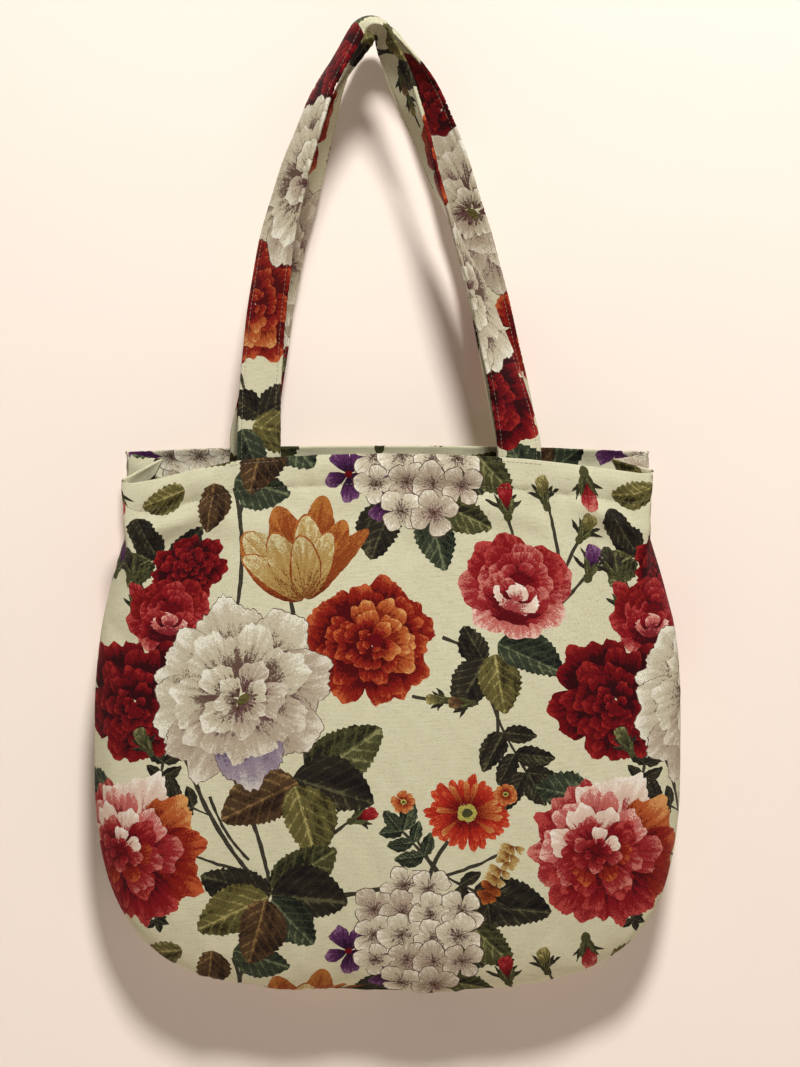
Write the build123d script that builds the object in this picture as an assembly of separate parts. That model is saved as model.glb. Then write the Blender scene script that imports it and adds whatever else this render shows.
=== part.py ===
"""Soft tote bag of patterned tapestry cloth, hanging by its two handles.

Millimetres, +Z up, the front faces -Y. The origin is where the handles bear on the peg that the bag
hangs from. The two panels meet in the plane of the side seams, each is its own cut of cloth with a hem
turned to the inside, and each handle is a folded strip that twists from the hem to the peg.
"""

from build123d import *
import math
import os

# The cloth, as a single layer
cloth = 1.2

# The body, measured as it hangs
body_height = 398.0
belly_drop = 220.0
mouth_width = 392.0
belly_width = 432.0
belly_fold_width = 344.0
mouth_depth = 42.0
belly_depth = 84.0
fold_setback = 2.0
belly_fold_setback = 12.0
side_tuck = 34.0
crease_starts = 40.0
crease_ends = 140.0
body_shift = 9.0

# The rim, below the peg, and how much lower its corners hang
front_rim_drop = 316.0
back_rim_drop = 309.0
front_rim_sag = 16.0
back_rim_sag = 4.0
hem_depth = 26.0

# The handles
strap_width = 32.0
strap_thickness = 3.2
strap_edge_bevel = 1.1
strap_spacing = 193.0
strap_seat_gap = 0.3
strap_end_margin = 2.0
strap_rise = 6.0
peg_radius = 13.0
handle_gap = 2.0
handle_slide = 3.0
lead_base_pull = 92.0
lead_peg_pull = 116.0
trail_base_pull = 86.0
trail_peg_pull = 102.0

# How far a cutting solid runs past what it cuts
overrun = 30.0

# Angles, in degrees
lead_base_lean = 2.0
lead_peg_angle = 25.0
trail_base_lean = 9.0
trail_peg_angle = 17.0
strap_turn = 90.0

# Where the level sections of the body lie, as shares of its height from the rim down
level_shares = (0.07, 0.14, 0.2, 0.26, 0.33, 0.42, 0.56, 0.68, 0.78, 0.86, 0.92, 0.96, 0.985, 0.997)
# How soon the tucked sides open below the mouth
opening_share = 2.5
# Form of the boxed bottom: how long the width and the depth stay full, and how they round to the keel
width_fall_share = 2.8
width_round_share = 0.25
depth_fall_share = 2.6
depth_round_share = 0.5
# Pull of the curve between side seam and front fold, of the reach that it spans
corner_pull_share = 0.6
# Turn of each handle leg from the hem to the peg, as shares of the quarter turn
lead_twist_shares = (0.12, 0.24, 0.3, 0.38, 0.46, 0.56, 0.76, 1.0)
trail_twist_shares = (0.18, 0.42, 0.64, 0.86, 1.04, 1.18, 1.2, 1.0)


def mix(start, end, share):
    """Value between start and end."""
    return start + (end - start) * share


def smooth(share):
    """Share from 0 to 1 that starts and ends level."""
    held = min(max(share, 0.0), 1.0)
    return held * held * (3 - 2 * held)


def level_sizes(drop):
    """Half sizes of the body at a drop below the rim.

    Returns the seam's and the fold's distance from the middle, the fold's and the crown's distance
    from the seam plane, and how round the side is: 0 is tucked in flat, 1 is full.
    """
    swell = smooth(drop / belly_drop)
    opened = 1 - (1 - min(max(drop / belly_drop, 0.0), 1.0)) ** opening_share
    roundness = smooth((drop - crease_starts) / (crease_ends - crease_starts))
    fall = min(max((drop - belly_drop) / (body_height - belly_drop), 0.0), 1.0)
    narrow = (1 - fall**width_fall_share) ** width_round_share
    shallow = (1 - fall**depth_fall_share) ** depth_round_share
    seam = mix(mouth_width / 2 - side_tuck, belly_width / 2, opened) * narrow
    fold = mix(mouth_width, belly_fold_width, swell) / 2 * narrow
    crown = mix(mouth_depth, belly_depth, swell) / 2 * shallow
    setback = mix(fold_setback, belly_fold_setback, swell) * shallow
    return seam, fold, crown - setback, crown, roundness


def side_curve(drop, inset):
    """Four control points, in plan, of the side from its seam to the fold, inset by so much cloth.

    The second number of a point is its distance from the seam plane, so both panels use it.
    """
    seam, fold, fold_depth, crown, roundness = level_sizes(drop)
    slope = 2 * (crown - fold_depth) / fold
    start = Vector(seam, 0)
    end = Vector(fold, fold_depth)
    reach = seam - fold
    full_leave = start + Vector(0, fold_depth) * corner_pull_share
    full_arrive = end + Vector(reach, -slope * reach) * corner_pull_share
    flat_leave = start + (end - start) / 3
    flat_arrive = end - (end - start) / 3
    leave = flat_leave + (full_leave - flat_leave) * roundness
    arrive = flat_arrive + (full_arrive - flat_arrive) * roundness
    seam_way = (leave - start).normalized()
    side_way = (end - arrive).normalized()
    front_way = Vector(-1, slope).normalized()
    side_normal = Vector(-side_way.Y, side_way.X)
    front_normal = Vector(-front_way.Y, front_way.X)
    inner_end = end + (side_normal + front_normal) * (inset / (1 + side_normal.dot(front_normal)))
    inner_start = Vector(seam - inset / seam_way.Y, 0)
    scale = (inner_end - inner_start).length / (end - start).length
    inner_leave = inner_start + (leave - start) * scale
    inner_arrive = inner_end + (arrive - end) * scale
    return inner_start, inner_leave, inner_arrive, inner_end


def face_curve(drop, inset, end):
    """Two middle control points of the panel's face, a parabola in plan from fold to fold."""
    crown = level_sizes(drop)[3] - inset
    rise = (crown - end.Y) * 4 / 3
    return Vector(end.X / 3, end.Y + rise), Vector(-end.X / 3, end.Y + rise)


def level_face(drop, height, inset, side, past):
    """Half of the body's level section on one side of the seam plane, as a face at a height.

    side is -1 for the front and 1 for the back; past is how far the section runs over the seam plane.
    """

    def place(point, mirrored=1):
        return Vector(body_shift + mirrored * point.X, side * point.Y, height)

    right = side_curve(drop, inset)
    seam, fold = right[0], right[3]
    middle = face_curve(drop, inset, fold)
    edges = [
        Bezier(*[place(p) for p in right]),
        Bezier(place(fold), *[place(p) for p in middle], place(fold, -1)),
        Bezier(*[place(p, -1) for p in reversed(right)]),
    ]
    if past:
        beyond = Vector(seam.X, -past)
        edges += [
            Line(place(seam, -1), place(beyond, -1)),
            Line(place(beyond, -1), place(beyond)),
            Line(place(beyond), place(seam)),
        ]
    else:
        edges.append(Line(place(seam, -1), place(seam)))
    return Face(Wire([edge.edge() for edge in edges]))


def rim_height(across, depth):
    """Height of the rim at a place in plan, counted from the middle of the body."""
    share = depth / mouth_depth + 0.5
    drop = mix(front_rim_drop, back_rim_drop, share)
    sag = mix(front_rim_sag, back_rim_sag, share)
    return -drop - sag * (2 * across / mouth_width) ** 2


def half_form(side, inset, past):
    """Solid half of the body on one side of the seam plane, its surface inset by so much cloth."""
    shrink = (body_height - inset) / body_height
    rim = rim_height(0, 0)
    faces = [level_face(0, rim + overrun, inset, side, past), level_face(0, rim, inset, side, past)]
    for share in level_shares:
        drop = share * body_height
        faces.append(level_face(drop, rim - drop * shrink, inset, side, past))
    return loft(faces)


def above_rim(lowered):
    """Everything above the rim, or above a line that runs so far below the rim."""
    faces = []
    reach = belly_width
    for depth in (-belly_depth, belly_depth):
        middle = rim_height(0, depth) - lowered
        corner = rim_height(reach, depth) - lowered
        left = Vector(body_shift - reach, depth, corner)
        right = Vector(body_shift + reach, depth, corner)
        pull = Vector(body_shift, depth, 2 * middle - corner)
        top_left = Vector(left.X, depth, 0)
        top_right = Vector(right.X, depth, 0)
        edges = [
            Bezier(left, pull, right),
            Line(right, top_right),
            Line(top_right, top_left),
            Line(top_left, left),
        ]
        faces.append(Face(Wire([edge.edge() for edge in edges])))
    return loft(faces, ruled=True)


def panel(side):
    """One cut of cloth: face, half of each side, half of the bottom and the hem turned inside."""
    outer = half_form(side, 0, 0)
    inside = half_form(side, cloth, overrun)
    inside_hem = half_form(side, 2 * cloth, overrun)
    hollow = inside - above_rim(hem_depth)
    return outer - hollow - inside_hem - above_rim(0)


def seat(side, across, height):
    """Middle of a strap that lies on the inside of the hem, and the slope of the hem there in plan."""
    drop = rim_height(0, 0) - height
    fold = side_curve(drop, 2 * cloth)[3]
    crown = level_sizes(drop)[3] - 2 * cloth
    depth = crown - (crown - fold.Y) * (across / fold.X) ** 2
    slope = -2 * (crown - fold.Y) * across / fold.X**2
    depth -= strap_seat_gap + strap_thickness / 2
    return Vector(body_shift + across, side * depth, height), side * slope


def strap_section(middle, way, width_way):
    """Section of the folded strip across a way, its width laid along width_way and its folds eased."""
    outline = Rectangle(strap_width, strap_thickness)
    folded = chamfer(outline.vertices(), strap_edge_bevel)
    return (Plane(origin=middle, x_dir=width_way, z_dir=way) * folded).face()


def peg_end(side, hand, angle):
    """Where a leg leaves the peg: the strap's middle there and its way up."""
    tilt = math.radians(angle)
    radius = peg_radius + strap_thickness / 2
    centre = Vector(side * handle_slide, side * (strap_width + handle_gap) / 2, -peg_radius)
    outward = Vector(hand * math.cos(tilt), 0, math.sin(tilt))
    return centre + outward * radius, Vector(-hand * math.sin(tilt), 0, math.cos(tilt))


def leg(side, hand, lean, base_pull, angle, peg_pull, twist_shares):
    """One leg of a handle, from its end inside the hem to the peg. hand is -1 on the left, 1 on the right."""
    across = hand * strap_spacing / 2
    rim = rim_height(across, side * mouth_depth / 2)
    end, slope = seat(side, across, rim - hem_depth + strap_end_margin)
    start, _ = seat(side, across, rim + strap_rise)
    rise = start - end
    tab = extrude(strap_section(end, rise, Vector(1, slope, 0)), rise.length, rise)
    tilt = math.radians(lean)
    base_way = Vector(-hand * math.sin(tilt), 0, math.cos(tilt))
    top, top_way = peg_end(side, hand, angle)
    path = Bezier(start, start + base_way * base_pull, top - top_way * peg_pull, top)
    sections = [strap_section(start, rise, Vector(1, slope, 0))]
    last = len(twist_shares)
    for step, twist_share in enumerate(twist_shares, 1):
        share = step / last
        way = path % share
        level = (Vector(1, 0, 0) - way * way.X).normalized()
        turn = math.radians(-hand * side * strap_turn * twist_share)
        width_way = level * math.cos(turn) + way.cross(level) * math.sin(turn)
        sections.append(strap_section(path @ share, way, width_way))
    return tab + loft(sections)


def handle(side):
    """One handle: two legs that turn a quarter on their way up, and the bend that bears on the peg."""
    lead, trail = side, -side
    bend_start, bend_way = peg_end(side, 1, lead_peg_angle if lead == 1 else trail_peg_angle)
    section = strap_section(bend_start, bend_way, Vector(0, 1, 0))
    axis = Axis((side * handle_slide, 0, -peg_radius), (0, -1, 0))
    bend = revolve(section, axis, 2 * strap_turn - lead_peg_angle - trail_peg_angle)
    lead_leg = leg(
        side, lead, lead_base_lean, lead_base_pull, lead_peg_angle, lead_peg_pull, lead_twist_shares
    )
    trail_leg = leg(
        side, trail, trail_base_lean, trail_base_pull, trail_peg_angle, trail_peg_pull, trail_twist_shares
    )
    return bend + lead_leg + trail_leg


parts = {
    "front_panel": panel(-1),
    "back_panel": panel(1),
    "front_handle": handle(-1),
    "back_handle": handle(1),
}

os.makedirs("parts", exist_ok=True)
for name, solid in parts.items():
    solid.label = name
    export_step(solid, f"parts/{name}.step")
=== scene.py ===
"""Looks of a soft tote bag of flowered tapestry cloth that hangs by its two handles.

Two cloth panels with a hem turned in along the mouth, two folded handles that turn on their way up to
the peg, and the sewing thread. Forms and flat cuts are worked out in millimetres, meshes are in metres.
"""

import logging
import math
from dataclasses import dataclass, field, replace
from enum import Enum
from functools import partialmethod
from typing import Any, Callable, Sequence

import bmesh
import bpy
import numpy as np
from mathutils import Matrix, Vector
from mathutils.geometry import delaunay_2d_cdt

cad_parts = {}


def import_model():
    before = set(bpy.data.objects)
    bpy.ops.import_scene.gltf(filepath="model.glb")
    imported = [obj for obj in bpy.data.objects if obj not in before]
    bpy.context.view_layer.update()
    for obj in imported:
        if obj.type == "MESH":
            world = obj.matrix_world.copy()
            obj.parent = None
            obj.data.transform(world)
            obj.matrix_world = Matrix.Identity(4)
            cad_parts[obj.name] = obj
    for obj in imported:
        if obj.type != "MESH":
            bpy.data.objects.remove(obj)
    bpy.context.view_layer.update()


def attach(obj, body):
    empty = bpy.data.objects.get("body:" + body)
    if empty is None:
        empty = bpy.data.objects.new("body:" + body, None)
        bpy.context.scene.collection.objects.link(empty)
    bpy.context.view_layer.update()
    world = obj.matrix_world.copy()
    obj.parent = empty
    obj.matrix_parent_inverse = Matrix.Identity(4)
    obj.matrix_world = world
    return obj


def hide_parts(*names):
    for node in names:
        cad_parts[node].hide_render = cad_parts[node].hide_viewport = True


LOG = logging.getLogger("tote_bag")
MM = 0.001
BODY = "root"
CLOTH_LAYER, BAKE_LAYER = "Cloth", "OFBake"
# Size and corner of a cloth's face and reverse in the square that its colours are baked to.
BAKE_ALONE, BAKE_FACE, BAKE_REVERSE = (0.99, 0.005, 0.005), (0.67, 0.005, 0.005), (0.3, 0.69, 0.01)
BAKE_COLUMN = 1.06
INK_LAYERS = ("ink_deep", "ink_body", "ink_light")
HANDS = (-1, 1)

Array = np.ndarray
Pair = tuple[float, float]
Shade = tuple[int, int, int]


class Side(Enum):
    """Side of the seam plane that a panel or a handle lies on, as the sign of its depth."""

    FRONT = -1
    BACK = 1


class Kind(Enum):
    """How a woven shape is shaded: along no line, out from a petal's root, or by a leaf's veins."""

    PLAIN = 0
    PETAL = 1
    LEAF = 2


@dataclass(frozen=True)
class Ink:
    """Three shades of one yarn colour, written in sRGB."""

    deep: Shade
    body: Shade
    light: Shade

    def linear(self) -> list[tuple[float, float, float, float]]:
        """The three shades as linear colours with full alpha."""
        return [linear_colour(shade) for shade in (self.deep, self.body, self.light)]


class Yarn(Enum):
    """The colours that the flowers, leaves and ground are woven in."""

    GROUND = Ink((184, 177, 144), (203, 198, 166), (219, 214, 186))
    WHITE = Ink((92, 68, 58), (184, 174, 148), (224, 219, 200))
    BLUSH = Ink((92, 62, 60), (170, 154, 132), (212, 204, 184))
    LILAC = Ink((82, 66, 92), (138, 124, 134), (188, 180, 170))
    ORANGE = Ink((72, 4, 6), (124, 24, 14), (178, 84, 44))
    AMBER = Ink((110, 26, 10), (164, 78, 36), (202, 146, 86))
    MAROON = Ink((44, 2, 6), (97, 5, 12), (142, 32, 28))
    CRIMSON = Ink((60, 4, 10), (120, 13, 20), (172, 64, 58))
    ROSE = Ink((82, 6, 12), (138, 30, 34), (192, 114, 100))
    PINK = Ink((116, 28, 34), (178, 92, 84), (220, 182, 164))
    SHELL = Ink((148, 56, 54), (208, 182, 162), (228, 218, 202))
    TULIP = Ink((108, 58, 22), (162, 130, 72), (208, 197, 152))
    FLAME = Ink((80, 28, 10), (128, 58, 22), (170, 108, 48))
    HYDRANGEA = Ink((84, 62, 56), (192, 181, 156), (230, 224, 206))
    OUTLINE = Ink((60, 40, 34), (88, 66, 54), (120, 96, 78))
    PURPLE = Ink((36, 12, 38), (76, 36, 74), (130, 92, 124))
    DARK_LEAF = Ink((18, 15, 14), (38, 34, 25), (84, 81, 55))
    GREEN_LEAF = Ink((26, 25, 16), (66, 66, 37), (132, 129, 84))
    OLIVE_LEAF = Ink((42, 36, 18), (92, 85, 45), (160, 148, 92))
    TEAL_LEAF = Ink((20, 22, 17), (48, 54, 39), (106, 112, 80))
    BROWN_LEAF = Ink((32, 20, 13), (72, 52, 32), (136, 106, 64))
    STEM = Ink((30, 25, 24), (58, 53, 42), (96, 92, 68))
    EYE = Ink((70, 72, 40), (168, 158, 74), (222, 206, 130))
    DAISY = Ink((92, 8, 10), (158, 34, 20), (200, 88, 52))


class Motif(Enum):
    """The flowers and leaves of the repeat."""

    PEONY = "peony"
    BLOOM = "bloom"
    ROSE = "rose"
    CABBAGE = "cabbage"
    TULIP = "tulip"
    DAISY = "daisy"
    HYDRANGEA = "hydrangea"
    FLORET = "floret"
    BUD = "bud"
    BELLS = "bells"
    LEAF = "leaf"
    SPRAY = "spray"
    STEM = "stem"


@dataclass(frozen=True)
class Placed:
    """One motif of the repeat: where its middle or root lies, how large it is, its way and its yarn.

    The size of a stem is its width, and it has a place that it runs to in the stead of a way.
    """

    motif: Motif
    at: Array
    size: float
    way: float = 0.0
    yarn: Yarn = Yarn.STEM
    to: Array | None = None


def linear_colour(shade: Shade) -> tuple[float, float, float, float]:
    """Linear colour of an sRGB shade.

    Args:
        shade: Red, green and blue from 0 to 255.

    Returns:
        The linear colour, with full alpha.
    """
    parts = [part / 255 for part in shade]
    red, green, blue = [p / 12.92 if p <= 0.04045 else ((p + 0.055) / 1.055) ** 2.4 for p in parts]
    return red, green, blue, 1.0


def mix(start: Any, end: Any, share: Any) -> Any:
    """Value between start and end."""
    return start + (end - start) * share


def smooth(share: Any) -> Any:
    """Share from 0 to 1 that starts and ends level."""
    held = np.clip(share, 0.0, 1.0)
    return held * held * (3 - 2 * held)


def bell(offset: Any, width: float) -> Any:
    """Share from 1 in the middle that falls off to both sides."""
    return np.exp(-((offset / width) ** 2))


def heading(degrees: float) -> Array:
    """Unit vector in the flat cut at an angle from its weft."""
    turn = math.radians(degrees)
    return np.array([math.cos(turn), math.sin(turn)])


def unit(vectors: Array) -> Array:
    """Vectors scaled to length 1."""
    return vectors / np.linalg.norm(vectors, axis=-1, keepdims=True)


def run_lengths(points: Array) -> Array:
    """Length along a line at each of its points."""
    return np.concatenate([[0], np.cumsum(np.linalg.norm(np.diff(points, axis=0), axis=1))])


def read_along(places: Array, lengths: Array, values: Array) -> Array:
    """Rows of values, known at some lengths along a line, read at other places."""
    return np.stack([np.interp(places, lengths, column) for column in values.T], axis=1)


def evened(values: Array, passes: int) -> Array:
    """Values that are averaged with their neighbours some times over, apart from the two ends.

    Args:
        values: The values, changed in place.
        passes: How many times.

    Returns:
        The same values, evened.
    """
    for _ in range(passes):
        values[1:-1] = (values[:-2] + 2 * values[1:-1] + values[2:]) / 4
    return values


def bezier(start: Array, leave: Array, arrive: Array, end: Array, share: Array) -> Array:
    """Curve between two points.

    Args:
        start: Its first point.
        leave: Point that it leaves towards.
        arrive: Point that it arrives from.
        end: Its last point.
        share: Shares of the curve, as a column.

    Returns:
        The points at those shares.
    """
    left = 1 - share
    return left**3 * start + 3 * share * left**2 * leave + 3 * share**2 * left * arrive + share**3 * end


def level_line(across: Array, down: float) -> Array:
    """Places of a flat cut along a line at one place down."""
    return np.stack([across, np.full(len(across), down)], axis=1)


def within(outline: Array, places: Array) -> Array:
    """Which places lie inside an outline.

    Args:
        outline: Corners of the outline.
        places: The places.

    Returns:
        True for each place inside.
    """
    inside = np.zeros(len(places), bool)
    across, down = places[:, 0], places[:, 1]
    for (ax, ay), (bx, by) in zip(outline, np.roll(outline, -1, axis=0)):
        if ay == by:
            continue
        crosses = (ay > down) != (by > down)
        inside ^= crosses & (across < ax + (bx - ax) * (down - ay) / (by - ay))
    return inside


def add_object(name: str, data: Any) -> bpy.types.Object:
    """Adds an object with its mesh, lamp or camera to the scene.

    Args:
        name: The object's name.
        data: Its mesh, lamp or camera.

    Returns:
        The object.
    """
    made = bpy.data.objects.new(name, data)
    bpy.context.scene.collection.objects.link(made)
    return made


@dataclass(frozen=True)
class Shape:
    """One patch of yarn in the flat cut, with what its shading needs."""

    outline: Array
    yarn: Yarn
    kind: Kind
    root: Array
    angle: float
    length: float
    spread: float
    shade: float

    def moved(self, offset: Array) -> "Shape":
        """The same patch at another place in the cloth."""
        return replace(self, outline=self.outline + offset, root=self.root + offset)

    def turned(self) -> "Shape":
        """The same patch with the cloth turned a quarter, its weft running up the piece.

        Returns:
            The turned patch.
        """
        outline = np.stack([self.outline[:, 1], -self.outline[:, 0]], axis=1)
        root = np.array([self.root[1], -self.root[0]])
        return replace(self, outline=outline, root=root, angle=self.angle - math.pi / 2)

    def trimmed(self, low: float, high: float) -> "Shape":
        """The same patch kept between two lines along the cloth."""
        held = np.stack([np.clip(self.outline[:, 0], low, high), self.outline[:, 1]], axis=1)
        return replace(self, outline=held)

    def area(self) -> float:
        """Area of the patch, negative where its outline runs clockwise."""
        across, down = self.outline.T
        return float(np.dot(across, np.roll(down, -1)) - np.dot(down, np.roll(across, -1))) / 2


def stalks(*rows: tuple[float, float, float, float, float]) -> list[Placed]:
    """Stems, row by row: across and down of both ends, and width."""
    return [Placed(Motif.STEM, np.array(row[:2]), row[4], to=np.array(row[2:4])) for row in rows]


def planted(motif: Motif, *rows: tuple[float, float, float, float, Yarn]) -> list[Placed]:
    """Motifs of one kind, row by row: across, down, size, way in degrees and yarn."""
    return [Placed(motif, np.array(row[:2]), *row[2:]) for row in rows]


REPEAT = (
    *stalks(
        (-112, 20, -110, 118, 3.0), (-70, 100, -52, 150, 3.0), (-150, 205, -90, 318, 3.2),
        (-128, 206, -84, 322, 3.0), (-60, 210, -70, 320, 3.0), (-70, 320, -108, 390, 3.6),
        (-74, 332, 4, 316, 3.4), (-26, 268, -60, 300, 2.4), (88, 45, 92, 80, 2.4),
        (118, 30, 126, 92, 2.4), (139, 58, 126, 92, 2.4), (146, 80, 124, 108, 2.4),
        (166, 70, 184, 130, 2.4), (40, 135, 74, 150, 2.6), (74, 150, 80, 205, 2.6),
        (18, 178, 66, 182, 2.6), (44, 282, 28, 318, 3.0), (12, 260, 38, 306, 2.4),
        (88, 288, 38, 308, 2.4), (-128, 248, -100, 296, 2.2), (-162, 282, -94, 306, 2.2),
    ),
    *planted(
        Motif.LEAF,
        (-150, 14, 34, 170, Yarn.OLIVE_LEAF), (-128, 14, 36, 95, Yarn.BROWN_LEAF),
        (-112, 14, 44, 20, Yarn.TEAL_LEAF), (-165, 62, 30, -140, Yarn.DARK_LEAF),
        (-170, 66, 30, 130, Yarn.GREEN_LEAF), (-158, 64, 30, -40, Yarn.DARK_LEAF),
        (4, 36, 46, 110, Yarn.DARK_LEAF), (30, 40, 48, 75, Yarn.TEAL_LEAF),
        (34, 36, 46, 22, Yarn.GREEN_LEAF), (34, 18, 50, -2, Yarn.DARK_LEAF),
        (70, 152, 30, -120, Yarn.DARK_LEAF), (72, 150, 44, 120, Yarn.DARK_LEAF),
        (78, 146, 44, 80, Yarn.OLIVE_LEAF), (80, 138, 52, 22, Yarn.TEAL_LEAF),
    ),
    *planted(Motif.SPRAY, (76, 182, 64, 62, Yarn.DARK_LEAF)),
    *planted(
        Motif.LEAF,
        (164, 30, 34, 60, Yarn.DARK_LEAF), (178, 64, 26, 150, Yarn.GREEN_LEAF),
        (-58, 238, 66, -34, Yarn.GREEN_LEAF), (-68, 236, 62, 18, Yarn.DARK_LEAF),
        (-64, 240, 62, 155, Yarn.BROWN_LEAF), (-66, 242, 56, 74, Yarn.OLIVE_LEAF),
    ),
    *planted(Motif.SPRAY, (-128, 262, 40, 200, Yarn.DARK_LEAF)),
    *planted(
        Motif.LEAF,
        (-84, 318, 56, -32, Yarn.GREEN_LEAF), (-84, 322, 54, 196, Yarn.DARK_LEAF),
        (-84, 322, 56, 6, Yarn.DARK_LEAF), (-86, 324, 58, 155, Yarn.OLIVE_LEAF),
        (-84, 326, 46, 48, Yarn.TEAL_LEAF), (-88, 326, 52, 104, Yarn.BROWN_LEAF),
        (58, 330, 62, 4, Yarn.DARK_LEAF), (54, 338, 54, 46, Yarn.GREEN_LEAF),
        (150, 250, 44, 190, Yarn.TEAL_LEAF),
    ),
    *planted(
        Motif.SPRAY,
        (36, 306, 46, -130, Yarn.TEAL_LEAF), (40, 306, 44, 28, Yarn.DARK_LEAF),
        (182, 246, 40, -80, Yarn.DARK_LEAF), (176, 320, 24, 76, Yarn.DARK_LEAF),
    ),
    *planted(
        Motif.BUD,
        (-26, 268, 20, -20, Yarn.CRIMSON), (88, 44, 24, -95, Yarn.CRIMSON),
        (117, 34, 22, -100, Yarn.OLIVE_LEAF), (140, 56, 22, -60, Yarn.OLIVE_LEAF),
        (145, 84, 26, -75, Yarn.PURPLE), (170, 108, 24, -95, Yarn.CRIMSON),
        (166, 80, 22, -110, Yarn.DARK_LEAF), (146, 6, 28, 80, Yarn.ROSE),
        (44, 180, 16, 180, Yarn.OLIVE_LEAF), (62, 182, 18, 180, Yarn.BROWN_LEAF),
    ),
    *planted(Motif.BELLS, (92, 286, 46, 118, Yarn.TULIP)),
    *planted(Motif.BLOOM, (-143, 76, 27, -60, Yarn.MAROON)),
    *planted(Motif.TULIP, (-60, 104, 70, -97, Yarn.TULIP)),
    *planted(Motif.ROSE, (-157, 112, 31, -80, Yarn.CRIMSON)),
    *planted(Motif.BLOOM, (-182, 176, 50, 100, Yarn.MAROON), (-14, 142, 51, -40, Yarn.ORANGE)),
    *planted(Motif.PEONY, (-106, 174, 66, 70, Yarn.WHITE)),
    *planted(Motif.BUD, (-172, 214, 21, -118, Yarn.GREEN_LEAF)),
    *planted(Motif.ROSE, (95, 96, 40, -75, Yarn.ROSE)),
    *planted(Motif.CABBAGE, (160, 288, 57, 110, Yarn.ROSE)),
    *planted(
        Motif.DAISY,
        (58, 262, 30, 0, Yarn.DAISY), (12, 254, 9, 0, Yarn.AMBER), (86, 248, 9, 0, Yarn.AMBER),
    ),
    *planted(Motif.FLORET, (-28, 16, 19, 20, Yarn.PURPLE), (0, 36, 17, 60, Yarn.PURPLE)),
    *planted(Motif.HYDRANGEA, (22, 4, 44, 0, Yarn.HYDRANGEA)),
)


@dataclass(frozen=True)
class BladeForm:
    """Outline of a leaf or smooth petal: where its edges start and end, their fullness and its bend."""

    start: float
    end: float
    least: int
    lean: float
    fullness: float
    sway: float


LEAF_FORM = BladeForm(0.02, 0.985, 6, 0.8, 0.68, 0.09)
PETAL_FORM = BladeForm(0.01, 0.99, 8, 0.9, 0.5, 0.05)


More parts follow.
